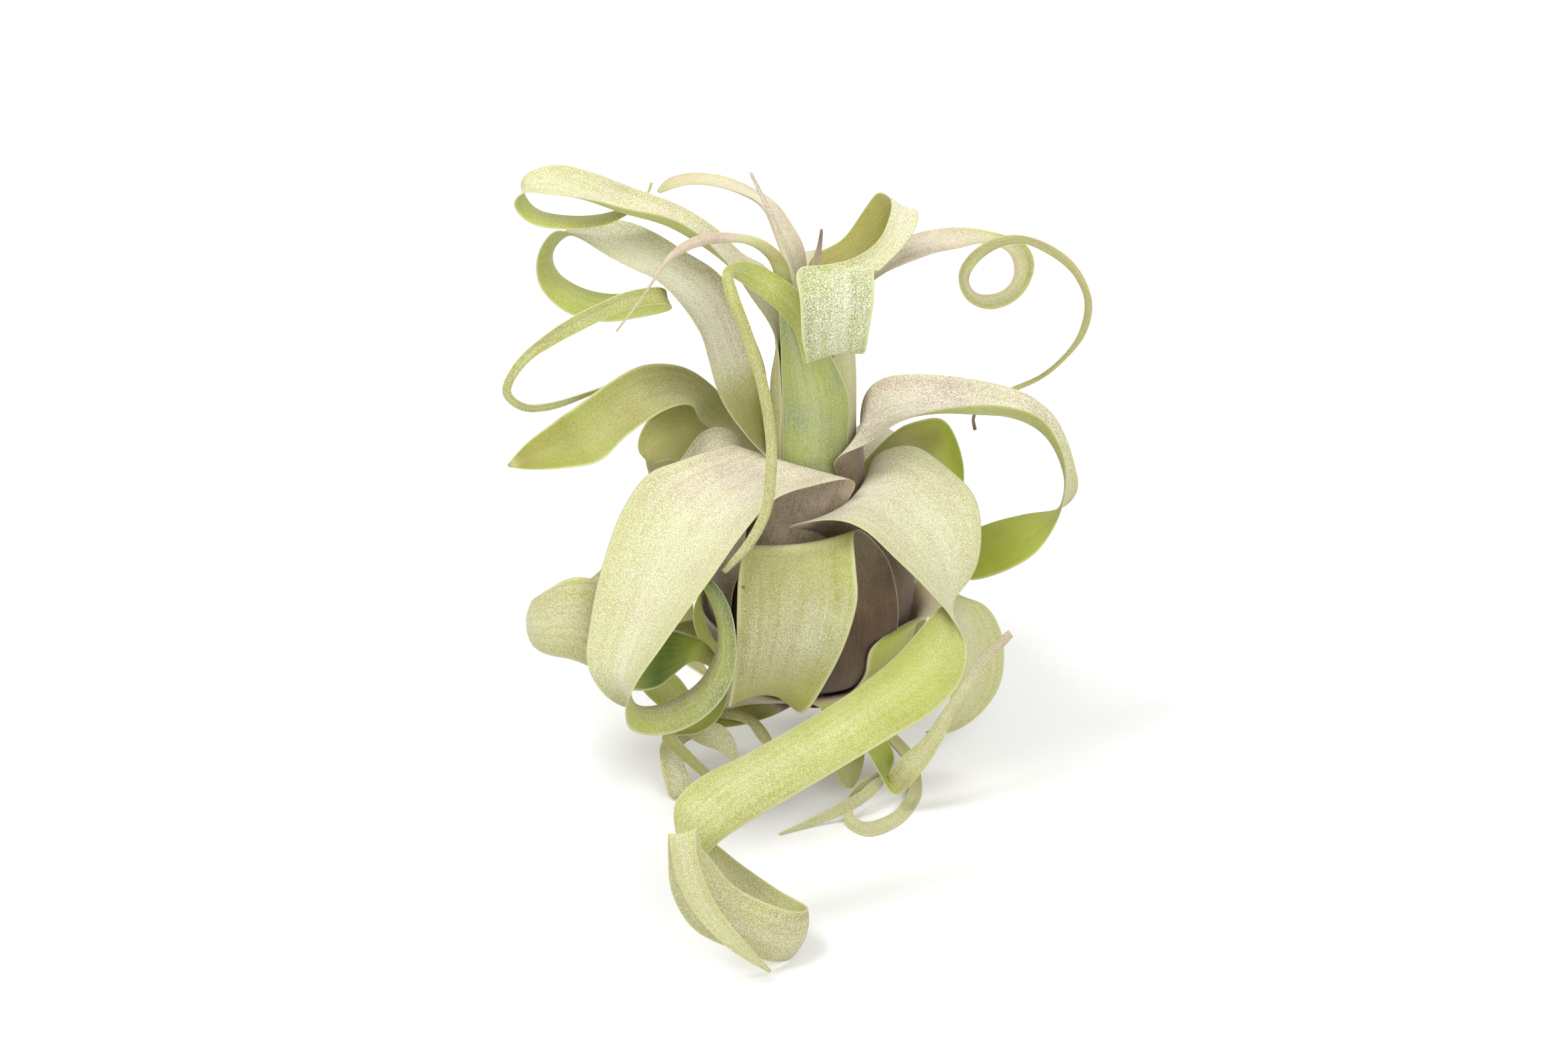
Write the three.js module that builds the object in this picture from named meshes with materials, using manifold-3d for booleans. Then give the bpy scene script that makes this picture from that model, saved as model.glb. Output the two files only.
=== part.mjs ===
// A curly-leaved air plant, standing free on its lowest leaves. Millimetres, +Z up.
// Every leaf is one solid: a sheath that wraps the bulb or the crown in its own layer, and a blade that
// follows two edge lines. The edge lines are given as seen from the front: right of the plant's axis, up
// from the floor point, and depth (away from the viewer) at real size.
import * as THREE from 'three';
import { mergeVertices } from 'three/addons/utils/BufferGeometryUtils.js';
import Module from 'manifold-3d';

const wasm = await Module();
wasm.setup();

// ---- driving dimensions -----------------------------------------------------------------------------
const leafThickness = 0.8;
const layerPitch = 1.25;
const clearance = 0.3;
const bulb = { radius: 35, halfHeight: 37, centreZ: 63, footLatitude: -70, latitudeStep: 20 };
const crown = { radius: 8, neckZ: 95, footZ: 46, footRadius: 3.2, ringStep: 14 };
const sheathSpread = 40;
const blade = { columns: 5, ringSpacing: 9, cup: 0.12 };
const arch = { stations: 13, cup: 0.24, tip: 0.05, ends: 0.86, swell: 0.28 };
const weldDistance = 1e-4;
const stemSegments = 18;
const stemProfile = [[0, 20], [2.6, 21], [4.2, 24.4], [12.4, 25.6], [8.5, 36.8], [9.8, 45.5], [0, 45.5]];

// the front view that the edge lines are read in
const view = { tilt: THREE.MathUtils.degToRad(28), distance: 1100, right: -9.3, up: 73.2, z: 83.1 };

// ---- from the front view to the plant's own frame ---------------------------------------------------
// A point that would lie under the floor slides along the line of sight until it lies on it.
function fromView(right, up, depth) {
  const sin = Math.sin(view.tilt);
  const cos = Math.cos(view.tilt);
  const rise = up - view.up;
  const slope = sin / cos;
  const atDepth = (slope * rise - depth / cos) / (1 + slope * rise / view.distance);
  const onFloor = (leafThickness / 2 - view.z - rise * cos) / (sin - rise * cos / view.distance);
  const near = Math.max(atDepth, onFloor);
  const shrink = 1 - near / view.distance;
  return new THREE.Vector3(
    view.right + (right - view.right) * shrink,
    rise * shrink * sin - near * cos,
    view.z + rise * shrink * cos + near * sin,
  );
}

const onAxis = (radius, azimuth, z) =>
  new THREE.Vector3(radius * Math.cos(azimuth), radius * Math.sin(azimuth), z);

const aboveFloor = (point) => point.setZ(Math.max(point.z, leafThickness / 2));

// ---- sheath rings: the bulb's nested layers, and the crown's ----------------------------------------
function bulbRings({ layer, azimuth, to }) {
  const rings = [];
  for (let latitude = bulb.footLatitude; latitude <= to; latitude += bulb.latitudeStep) {
    const angle = THREE.MathUtils.degToRad(latitude);
    const radius = (bulb.radius - layer * layerPitch) * Math.cos(angle);
    const z = bulb.centreZ + (bulb.halfHeight - layer * layerPitch) * Math.sin(angle);
    rings.push(sheathRing(radius, azimuth, z, sheathSpread));
  }
  return rings;
}

function crownRings({ layer, azimuth, to, spread = sheathSpread }) {
  const rings = [];
  for (let z = crown.footZ; z <= to; z += crown.ringStep) {
    const share = Math.min(1, (z - crown.footZ) / (crown.neckZ - crown.footZ));
    const heart = crown.footRadius + (crown.radius - crown.footRadius) * Math.sin(share * Math.PI / 2);
    rings.push(sheathRing(heart + layer * layerPitch, azimuth, z, spread));
  }
  return rings;
}

// a sheath reaches its spread in degrees to both sides of its azimuth
function sheathRing(radius, azimuth, z, spread) {
  return Array.from({ length: blade.columns }, (_, column) => {
    const across = column / (blade.columns - 1) * 2 - 1;
    return onAxis(radius, THREE.MathUtils.degToRad(azimuth + across * spread), z);
  });
}

// ---- blade rings: an arched section between the two edges -------------------------------------------
function bladeRings(leaf, lastRing) {
  const edges = leaf.blade.map((s) => [fromView(s[0], s[1], s[2]), fromView(s[3], s[4], s[5])]);
  const middles = edges.map(([a, b]) => a.clone().lerp(b, 0.5));
  const before = lastRing[(blade.columns - 1) / 2];
  return edges.map(([a, b], i) => {
    const back = i > 0 ? middles[i - 1] : before;
    const ahead = middles[Math.min(i + 1, middles.length - 1)];
    const across = b.clone().sub(a);
    const up = ahead.clone().sub(back).cross(across).normalize();
    const drop = across.length() * (leaf.blade[i][6] ?? leaf.cup ?? blade.cup);
    return Array.from({ length: blade.columns }, (_, column) => {
      const share = column / (blade.columns - 1);
      const bow = 4 * share * (1 - share);
      return a.clone().lerp(b, share).addScaledVector(up, -drop * bow);
    });
  });
}

function smoothRings(rings, start) {
  const curves = rings[0].map((_, column) =>
    new THREE.CatmullRomCurve3(rings.map((ring) => ring[column]), false, 'centripetal'));
  const result = rings.slice(0, start + 1);
  for (let i = start; i < rings.length - 1; i += 1) {
    const middle = (blade.columns - 1) / 2;
    const gap = rings[i][middle].distanceTo(rings[i + 1][middle]);
    const steps = Math.max(1, Math.round(gap / blade.ringSpacing));
    for (let step = 1; step <= steps; step += 1) {
      const t = (i + step / steps) / (rings.length - 1);
      result.push(curves.map((curve) => aboveFloor(curve.getPoint(t))));
    }
  }
  return result;
}

// ---- a leaf's solid: both faces of the sheet, its margins and its two ends --------------------------
function sheetSolid(rings, halfThickness, widen) {
  const rows = rings.length;
  const columns = rings[0].length;
  const at = (row, column) => rings[row][column];
  const faces = [[], []];
  for (let row = 0; row < rows; row += 1) {
    for (let column = 0; column < columns; column += 1) {
      const ahead = at(Math.min(row + 1, rows - 1), column);
      const right = at(row, Math.min(column + 1, columns - 1));
      const along = ahead.clone().sub(at(Math.max(row - 1, 0), column));
      const across = right.clone().sub(at(row, Math.max(column - 1, 0)));
      const normal = along.clone().cross(across).normalize();
      const side = column === 0 ? -1 : Number(column === columns - 1);
      const end = row === 0 ? -1 : Number(row === rows - 1);
      const point = at(row, column).clone().addScaledVector(across.normalize(), side * widen);
      point.addScaledVector(along.normalize(), end * widen);
      faces[0].push(point.clone().addScaledVector(normal, halfThickness));
      faces[1].push(point.clone().addScaledVector(normal, -halfThickness));
    }
  }
  const positions = [...faces[0], ...faces[1]].flatMap((p) => [p.x, p.y, p.z]);
  const index = [];
  const upper = (row, column) => row * columns + column;
  const lower = (row, column) => rows * columns + upper(row, column);
  const quad = (a, b, c, d) => index.push(a, b, c, a, c, d);
  for (let row = 0; row < rows - 1; row += 1) {
    for (let column = 0; column < columns - 1; column += 1) {
      quad(upper(row, column), upper(row + 1, column), upper(row + 1, column + 1), upper(row, column + 1));
      index.push(lower(row, column), lower(row + 1, column + 1), lower(row + 1, column));
      index.push(lower(row, column), lower(row, column + 1), lower(row + 1, column + 1));
    }
    const last = columns - 1;
    quad(upper(row, 0), lower(row, 0), lower(row + 1, 0), upper(row + 1, 0));
    quad(upper(row, last), upper(row + 1, last), lower(row + 1, last), lower(row, last));
  }
  for (let column = 0; column < columns - 1; column += 1) {
    const end = rows - 1;
    quad(upper(0, column), upper(0, column + 1), lower(0, column + 1), lower(0, column));
    quad(upper(end, column), lower(end, column), lower(end, column + 1), upper(end, column + 1));
  }
  return toSolid(positions, index);
}

function toSolid(positions, index) {
  const mesh = new wasm.Mesh({
    numProp: 3,
    vertProperties: new Float32Array(positions),
    triVerts: new Uint32Array(index),
  });
  return new wasm.Manifold(mesh);
}

function solidFromGeometry(geometry) {
  geometry.deleteAttribute('normal');
  geometry.deleteAttribute('uv');
  const merged = mergeVertices(geometry, weldDistance);
  return toSolid(merged.attributes.position.array, merged.index.array);
}

function largestPiece(solid) {
  const pieces = solid.decompose();
  return pieces.reduce((best, piece) => (piece.volume() > best.volume() ? piece : best));
}

// ---- the leaves -------------------------------------------------------------------------------------
// A blade station is [right, up, depth] of one edge, then of the other, and then its own cup if it has one.
// Seen from the axis, the first edge is the sheath's clockwise margin.
const pale = 0xc9cfae;
const olive = 0xa9a765;
const green = 0x9db257;
const mauve = 0xbba9a0;

const leaves = [
  {
    name: 'leaf_front_right', colour: pale, bulb: { layer: 4, azimuth: -40, to: 50 }, cup: 0.14,
    blade: [
      [-8, 72, -34, 17, 92, 0], [6, 74, -39, 29, 96.5, -4], [15, 71, -44, 39, 90.5, -10],
      [25, 61.5, -48, 48, 81, -16], [34, 52.5, -52, 50, 69, -22], [41, 45, -56, 48, 59, -28],
      [45.5, 36, -61, 42, 51, -36], [44, 26, -67, 36, 46.5, -47], [36, 16.5, -74, 25, 34, -57, 0.2],
      [23, 8.5, -82, 13, 23.5, -66, 0.22], [7, -1, -88, -4, 13, -75, 0.22],
      [-9, -10.5, -94, -23, 2.5, -83, 0.2], [-21, -17.5, -99, -35, -3.5, -90],
      [-30, -24, -103, -42, -11, -97], [-35, -32, -103, -41, -19, -99], [-30, -38, -99, -33, -21, -96],
      [-20, -48, -97, -22, -29.6, -95], [-11, -57, -98, -10, -37.6, -97],
      [-8, -57.6, -105, -2.2, -42, -103], [-12.6, -58.6, -113, -7, -43.4, -111],
      [-24, -55, -116, -24, -36, -114], [-36, -49, -117, -31, -28, -115.5],
      [-43, -38, -118, -34, -24, -117], [-44.2, -27, -119, -35, -20, -118.5],
      [-44, -19, -121, -35.4, -17.6, -121], [-43.4, -25, -123.4, -35.8, -22.6, -123.2],
      [-41.6, -34, -125, -34, -31, -124.6], [-35.6, -45, -125.6, -29.4, -42, -125],
      [-25.4, -55, -125, -22, -51.4, -124.4], [-13.6, -62, -119, -13, -61.4, -119],
    ],
  },
  {
    name: 'leaf_front_left', colour: pale, bulb: { layer: 4, azimuth: -120, to: 50 }, cup: 0.15,
    blade: [
      [-23, 96, -4, 12.2, 85.6, -21, 0.02], [-31, 95, -8, -2, 83.8, -27, 0.06],
      [-41, 91.8, -13, -12.5, 79.8, -33, 0.1], [-50, 88, -17, -20, 71.5, -40],
      [-58, 77, -21, -30, 58, -47], [-64, 60, -27, -41, 43, -53], [-67.5, 44, -32, -49, 31.5, -57],
      [-68.5, 30, -37, -54, 24, -58], [-62, 20, -40, -57, 17.4, -56, 0.25],
      [-54, 17, -38, -55, 10.5, -52, 0.3], [-45, 18.5, -36, -44, 9.5, -49, 0.3],
      [-35, 25, -36, -32, 15.5, -47, 0.3], [-30, 33, -37, -24.6, 26, -45, 0.3],
      [-28.6, 42, -38, -23.6, 38, -44, 0.3], [-32, 50.5, -36, -25.8, 48.5, -40, 0.2],
      [-35, 55, -33, -31, 56, -36], [-42, 56, -26, -41, 59, -28],
    ],
  },
  {
    name: 'leaf_crown_flap', colour: pale, crown: { layer: 3, azimuth: 60, to: 130 }, cup: 0.1,
    blade: [
      [-2, 151, 8, 6, 144, 2], [8.5, 158.5, 10, 14, 149, 4], [14.5, 167, 11, 22, 156, 7],
      [19, 172.4, 9, 27, 163, 6], [23, 170.4, 3, 31, 167, 1], [22, 164, -5, 30.6, 162.4, -4],
      [18.6, 157.6, -12, 27, 156.6, -10], [11.6, 152.6, -18, 22, 151.4, -16],
      [2, 150.4, -22, 19, 148.8, -22], [-5.6, 149.6, -24, 17.8, 149, -26], [-4.6, 140, -29, 18, 142, -30],
      [-4, 128, -30, 16.2, 130, -31], [-2.4, 120.6, -27, 14.6, 123.6, -28],
      [-3.6, 122, -22, 10, 127, -23], [-6.6, 131, -20, -1.6, 140, -19],
      [-12.6, 138, -21, -9.6, 146.4, -17], [-19.6, 143.4, -22, -17, 150.6, -18],
      [-23.6, 146, -25, -22.6, 151.6, -22], [-24.4, 146.5, -29, -28, 148.5, -29],
      [-22.2, 139.6, -33, -25.8, 138.4, -33], [-18.8, 130.4, -34, -22.4, 129.6, -34],
      [-14.2, 115.4, -35, -17.6, 114.6, -35], [-11.4, 98.2, -36, -14.8, 98, -36],
      [-11.6, 88, -38, -15, 88, -38], [-13, 76.6, -41, -16.2, 77.4, -41],
      [-17.8, 66.8, -44, -20.6, 68.4, -44], [-26.8, 57.8, -44, -28.2, 58.8, -44],
    ],
  },
  {
    name: 'leaf_crown_loop', colour: pale, crown: { layer: 4, azimuth: 180, to: 130 },
    blade: [
      [-7, 137, 4, -12, 129, -9], [-14.5, 150, 2, -19.5, 141.5, -13], [-21.5, 154, 4, -25, 150, -14],
      [-29, 161, 5, -34.5, 159.4, -13, 0.2], [-40.5, 168.5, 4, -44.5, 165, -12, 0.26],
      [-54.5, 173.6, 3, -58.5, 167.8, -12, 0.26], [-67.5, 178.6, 2, -70.5, 170.6, -12, 0.2],
      [-78.5, 180.6, 1, -81.5, 172, -10], [-88.2, 176.5, 0, -88, 172, -9],
      [-87, 170.6, 2, -90.6, 168.6, -9], [-83, 166.6, 3, -85.6, 163, -9],
      [-74.6, 164.8, 4, -74.6, 161, -8], [-63.6, 165.4, 5, -63.6, 162.4, -4],
      [-55, 168.6, 6, -55, 166.4, 1], [-50, 172, 8, -50.6, 171.2, 7], [-48.6, 175.4, 9, -49.4, 175.2, 9],
    ],
  },
  {
    name: 'leaf_left_ring', colour: pale, crown: { layer: 5, azimuth: 200, to: 102 },
    blade: [
      [-14.6, 109, 3, -19.6, 98, -13], [-14.6, 118, 2, -28, 109.4, -13], [-18.6, 130, 2, -32, 121.4, -14],
      [-24, 142, 2, -34.6, 130, -16], [-30, 149, 3, -41.6, 140.4, -16],
      [-38.6, 154.4, 5, -47.6, 146, -14], [-47.6, 160, 7, -54.6, 149, -11],
      [-57.6, 164, 12, -63.6, 154, -5], [-66.6, 164, 14, -71.6, 159, -1], [-74.5, 161, 15, -78, 161, 0],
      [-79.4, 155, 14, -83.4, 154, -1], [-77.6, 148.6, 12, -83, 144.6, -3],
      [-70.6, 143.6, 10, -75.6, 136.6, -4], [-60.6, 141.8, 8, -64.6, 133.4, -5],
      [-51.6, 143.2, 3, -52.6, 134.6, -6], [-44.6, 142.6, -6, -43.2, 137, -10],
      [-47.6, 144, -14, -45, 138.8, -16], [-56.6, 142.6, -17, -55.6, 137.4, -18],
      [-64.6, 139, -19, -63.6, 134, -19], [-72.6, 135, -20, -71.6, 130, -20],
      [-80.6, 130, -21, -79, 126, -21], [-88.2, 123.4, -22, -85.4, 121.8, -22],
      [-93, 116, -22, -90.4, 115.4, -22], [-93.6, 111, -20, -91, 111.6, -20],
      [-88.4, 106.8, -17, -86.6, 108.8, -17], [-80.6, 106.6, -11, -79, 109.2, -11],
      [-70.6, 110, 0, -69, 112, 0], [-62, 113.6, 7, -61.4, 114.6, 7],
    ],
  },
  {
    name: 'leaf_right_arc', colour: pale, crown: { layer: 5, azimuth: -20, to: 102 },
    blade: [
      [6, 92, -16.5, 15, 112, 3], [15.4, 96.8, -15, 20.4, 116.6, 4],
      [24.4, 103, -15, 29.4, 117.8, 5, 0.16], [35.4, 106.6, -14, 41.4, 117.2, 5, 0.24],
      [46.4, 108.4, -13, 53.4, 115.2, 5, 0.3], [57.4, 108.2, -12, 63.4, 112, 4, 0.3],
      [67, 105.4, -11, 71.4, 106, 3, 0.3], [72.4, 99, -10, 75.4, 99, 2, 0.25],
      [75.4, 90, -9, 78.2, 90, 1, 0.2], [75, 82, -9, 78.8, 83, 1], [72.5, 73, -9, 74.4, 77.6, 2],
      [66.4, 64, -9, 63, 75.8, 4], [57.4, 58.6, -8, 53.4, 73.4, 6], [47, 55.8, -5, 46, 70, 7],
      [40, 58, 2, 40, 64, 7],
    ],
  },
  {
    name: 'leaf_right_ringlet', colour: green, crown: { layer: 3, azimuth: -30, to: 130 }, cup: 0.1,
    blade: [
      [8.4, 138, 4, 12.4, 143, 12], [15.4, 144, 7, 18, 151, 15], [22.4, 148.8, 9, 25.4, 158, 18],
      [35.4, 154, 10, 37, 161.4, 18], [43.4, 155.4, 11, 45, 161.8, 17], [51.4, 157, 10, 53.4, 160.4, 13],
      [58.4, 154, 9, 63.4, 156.8, 10], [59.8, 148, 7, 66, 150, 8], [57, 143.4, 5, 61.8, 141, 6],
      [51.4, 141.6, 3, 53.4, 137, 4], [47.8, 142.6, 1, 45.8, 139.6, 1], [46.2, 146.4, -2, 43, 147.6, -2],
      [49, 151.2, -4, 46.6, 154, -4], [54.4, 155.2, -5, 53.4, 158.4, -5],
      [61.4, 157, -5, 61.4, 159.6, -5], [69.4, 154, -4, 71, 156.4, -4], [77, 148, -3, 79, 149.6, -3],
      [80.8, 140, -2, 83.2, 139.6, -2], [79.4, 131, 1, 81.4, 130, 1], [74.6, 123.6, 5, 75.8, 122.6, 5],
      [67.2, 117.4, 9, 68.4, 116.4, 9], [59.2, 113.8, 12, 60.2, 112.6, 12],
      [51, 109.6, 14, 51.8, 108.6, 14], [47, 105, 14, 48, 105, 14], [47.6, 100.6, 14, 48.6, 101, 14],
    ],
  },
  {
    name: 'leaf_crown_arch', colour: mauve, crown: { layer: 3, azimuth: 160, to: 130 },
    blade: [
      [-2.2, 143, 8, -7.6, 141, 0], [-3.2, 155.6, 9, -9.6, 152, 2], [-6.6, 162.4, 11, -12.6, 160, 4],
      [-11.6, 169.4, 14, -16.6, 168.6, 6], [-18.6, 173.6, 16, -22.6, 172.2, 9],
      [-28.6, 177.4, 17, -29.6, 174.2, 11], [-37.6, 178.2, 17, -37.6, 174.8, 12],
      [-44.6, 176.4, 17, -43.6, 173.2, 13], [-47.6, 172.6, 17, -46.8, 172, 16],
    ],
  },
  {
    name: 'leaf_crown_spear', colour: mauve, crown: { layer: 3, azimuth: 250, to: 130 },
    blade: [
      [-8, 145, -9, -5.2, 144.4, -9], [-11.6, 158, -8, -9.4, 157, -8], [-14.2, 166, -7, -12.6, 166, -7],
      [-17, 172, -6, -15.4, 171.4, -6], [-19.8, 178.4, -5, -19, 178.4, -5],
    ],
  },
  {
    name: 'leaf_crown_thin', colour: mauve, crown: { layer: 4, azimuth: 269, to: 130, spread: 49 },
    blade: [
      [-11.6, 143, -14, -6, 143, -14], [-14.2, 152.4, -16, -9, 152.4, -15],
      [-20.6, 156.8, -18, -16.6, 158.6, -17], [-28.6, 157, -20, -26.6, 160.2, -18],
      [-36.6, 155.4, -22, -35.6, 159.2, -20], [-44, 151, -24, -43, 154.8, -23],
      [-50.2, 143.6, -25, -48.6, 146.4, -25], [-55, 136.6, -26, -54, 137.6, -26],
      [-60, 130.2, -26, -59.4, 130.6, -26],
    ],
  },
  {
    name: 'leaf_crown_bud', colour: green, crown: { layer: 1, azimuth: 0, to: 130 },
    blade: [
      [-1, 150, -3, 2, 150, -1], [0.6, 156, -3, 2, 156, -2], [1.6, 161.4, -3, 2.3, 161.4, -3],
    ],
  },
  {
    name: 'leaf_left_olive', colour: olive, bulb: { layer: 5, azimuth: 160, to: 50 }, cup: 0.2,
    blade: [
      [-20, 102, 20, -24, 97, 9], [-26, 109, 20, -34, 103, 11], [-31, 114.6, 17, -36.6, 107.6, 6],
      [-38, 119.4, 13, -40, 108.4, 1], [-45, 121, 8, -45, 106.8, -4], [-52.6, 120.2, 3, -50, 103.6, -9],
      [-60.6, 116, -2, -57, 98.4, -12], [-69.6, 109.6, -6, -64.6, 91.6, -16],
      [-79.6, 102.6, -9, -74.6, 89.6, -17], [-86.6, 97, -11, -84.6, 89, -16],
      [-92.4, 90.4, -13, -92, 89.8, -13],
    ],
  },
  {
    name: 'leaf_back_right', colour: green, bulb: { layer: 5, azimuth: 20, to: 50 },
    blade: [
      [22, 91, 4, 24.4, 101, 18], [31, 92, 2, 30.4, 103.6, 18], [36, 91, 0, 38.4, 104.6, 16],
      [38, 88, -1, 41.8, 100, 13], [39.4, 84, -2, 44.6, 90, 9], [40, 79, -2, 44, 82, 6],
      [39, 76, 0, 41, 76, 3],
    ],
  },
  {
    name: 'leaf_left_curl', colour: olive, bulb: { layer: 6, azimuth: 120, to: 50 },
    blade: [
      [-21, 97, 23, -24, 92, 15], [-31, 104.6, 25, -31, 93, 15], [-40, 109.6, 22, -37, 92.6, 13],
      [-46.8, 107.6, 17, -41, 91.6, 10], [-52.2, 101, 13, -45, 91.8, 7], [-53.4, 94, 11, -47.6, 91.2, 6],
      [-49.6, 91.2, 9, -48.4, 91, 6],
    ],
  },
  {
    name: 'leaf_apron', colour: olive, bulb: { layer: 2, azimuth: -80, to: 30 }, cup: 0.06,
    blade: [
      [-21, 66.5, -32, 12, 71, -31], [-23, 58, -38, 12.4, 60, -38], [-23.6, 46, -41, 13, 51, -41],
      [-24, 33, -41, 10, 39, -41], [-25.6, 21, -38, 4.4, 27, -38, 0.1],
      [-26, 17.4, -35, -3.4, 15.4, -35, 0.24], [-24, 19, -29, -6, 17, -29, 0.3],
      [-21, 22, -25, -10, 20, -24, 0.2],
    ],
  },
  {
    name: 'leaf_left_fold', colour: pale, bulb: { layer: 2, azimuth: 180, to: 30 },
    blade: [
      [-22, 97, 8, -21, 90, -2], [-28, 102, 7, -28, 93, -3], [-34, 100.4, 7, -34, 90, -3],
      [-39, 94, 7, -38.6, 84, -2], [-46, 84, 8, -45, 72, 0], [-57, 68, 9, -56, 50, 0],
      [-68, 56, 8, -66, 36, -2], [-77, 52, 4, -76, 35, -5], [-83, 50, -2, -82.5, 36, -8],
      [-84.8, 50, -9, -84.6, 36, -13], [-80.6, 53, -15, -80.4, 33.6, -19], [-72, 57, -18, -72, 31.6, -23],
      [-63, 55, -18, -64, 28, -24], [-53, 47, -19, -56, 23, -25], [-44.6, 42, -21, -47.6, 23.4, -27],
      [-37.6, 39.6, -24, -42, 27.8, -28], [-32.6, 37, -26, -36.4, 31.6, -29],
      [-28.6, 32, -27, -31, 29.6, -29],
    ],
  },
  {
    name: 'leaf_low_left', colour: green, bulb: { layer: 0, azimuth: 200, to: -10 },
    blade: [
      [-37, 46, -6, -28.4, 39, -17], [-34.4, 36, -10, -28, 32, -18], [-31, 25, -17, -26, 23, -21],
      [-34, 17, -23, -29, 14, -26], [-41, 12, -27, -36, 9.6, -30], [-46.4, 9, -28, -41.6, 9.4, -30],
      [-41, 3, -28, -37.4, 4.6, -28], [-33.6, -3.4, -26, -31.4, -1.6, -26],
      [-28, -8.6, -26, -27, -8, -26],
    ],
  },
  {
    name: 'leaf_low_left_fold', colour: pale, bulb: { layer: -1, azimuth: -140, to: -50 },
    blade: [
      [-31, 24, 0, -26, 17, -8], [-40, 14, 0, -33, 10, -9], [-46, 7.5, -11, -39.6, 6.4, -16],
      [-46.6, 2.4, -19, -38.8, -0.6, -22], [-45.2, -4.6, -22, -37, -4.6, -24],
      [-43, -10.4, -20, -39.6, -9.4, -22], [-40, -8, -15, -38, -7, -17],
    ],
  },
  {
    name: 'leaf_low_arch', colour: olive, bulb: { layer: -2, azimuth: -160, to: -70 },
    blade: [
      [-15, 20, 0, -13, 15, -6], [-24, 19, 0, -22, 12.4, -8], [-32, 17, -6, -30, 12, -12],
      [-33, 16, -13, -30.6, 14.4, -16], [-25, 17.4, -17, -25, 14, -20],
      [-18.4, 14.8, -21, -20, 12.4, -24], [-14.6, 11, -24, -17.6, 8.8, -27],
      [-12.4, 7, -26, -15, 5.8, -28], [-11, 3, -25, -12, 2.6, -26],
    ],
  },
  {
    name: 'leaf_low_right', colour: olive, bulb: { layer: 1, azimuth: -20, to: -10 },
    blade: [
      [38, 47, -6, 46, 50.5, 6], [41.5, 46, -8, 51, 48.6, 8], [42.6, 38, -12, 55.6, 41.4, 7],
      [42.4, 29, -14, 56.8, 32, 5], [41, 21, -15, 55, 23, 3], [39, 15, -13, 49.5, 15.4, 1],
      [37, 11, -9, 41.5, 10.4, 0], [33, 10, -5, 34, 9.4, -3],
    ],
  },
  {
    name: 'leaf_low_front_right', colour: olive, bulb: { layer: 0, azimuth: -60, to: -50 },
    blade: [
      [6, 15, -22, 13, 17, -14], [14, 7, -27, 21, 9, -18], [19, -1.6, -32, 24, 2.4, -24],
      [24, -9, -33, 21.4, -3, -30], [32, -1.8, -33, 26, 3, -31], [38.4, 8, -32, 32.8, 8.6, -31],
      [41.8, 16, -31, 38.6, 17.2, -30], [47.4, 24, -30, 44.2, 25.2, -29],
      [53.4, 32, -28, 49.8, 33.6, -27], [59.6, 39, -25, 58.2, 41, -25],
    ],
  },
  {
    name: 'leaf_low_ring', colour: olive, bulb: { layer: -1, azimuth: 40, to: -70 },
    blade: [
      [16, 16, -2, 14, 18, 8], [22, 8, -5, 23, 11, 5], [27.4, 1, -12, 30, 3.6, -3],
      [28.6, -4.5, -19, 32, -3.4, -13], [27, -10, -27, 31.4, -10.4, -23],
      [22.4, -14.4, -33, 24.6, -18, -33], [16.4, -16.8, -37, 15.5, -21, -38],
      [11.6, -15, -37, 9, -17.6, -38], [12, -10, -33, 9.4, -10, -34], [16, -5, -29, 14.5, -4, -30],
      [21, -2, -26, 20.6, -1.4, -26],
    ],
  },
  {
    name: 'leaf_low_point', colour: olive, bulb: { layer: -1, azimuth: -40, to: -70 },
    blade: [
      [9, 12, -15, 14, 15, -8], [16, 4, -21, 20, 5, -15], [20, -1.6, -26, 22.6, -1, -22],
      [15.4, -6, -32, 17.4, -9, -31], [7.4, -11, -37, 9.4, -14, -36], [0.4, -15, -39, 0.4, -17.6, -39],
      [-11, -20.2, -41, -10.8, -20.6, -41],
    ],
  },
  {
    name: 'leaf_low_curl', colour: pale, bulb: { layer: -1, azimuth: 140, to: -50 },
    blade: [
      [-24, 42, 22, -28, 36, 6], [-38, 44, 14, -42, 34, 2], [-50, 38, 6, -49, 30, -4],
      [-54.6, 29, -4, -46, 30, -8], [-51.2, 22, -12, -41, 27, -12], [-47, 18, -16, -37.8, 22.8, -15],
      [-41, 12, -20, -34.4, 17.6, -18], [-36.6, 7.8, -23, -31.6, 14, -21],
      [-33, 6, -25, -27.6, 12.4, -23], [-28.8, 4.6, -26, -24.4, 8.6, -25], [-25, 1.4, -26, -22.8, 3, -26],
    ],
  },
  {
    name: 'leaf_low_front', colour: olive, bulb: { layer: -2, azimuth: -80, to: -70 },
    blade: [
      [0, 24, -10, 8, 26, -6], [2.6, 13, -15, 12, 15, -10], [5, 3, -22, 15, 5, -17],
      [6.6, -3, -26, 13.6, -3, -21], [9, -6.4, -27, 11.4, -6.4, -26],
    ],
  },
];

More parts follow.
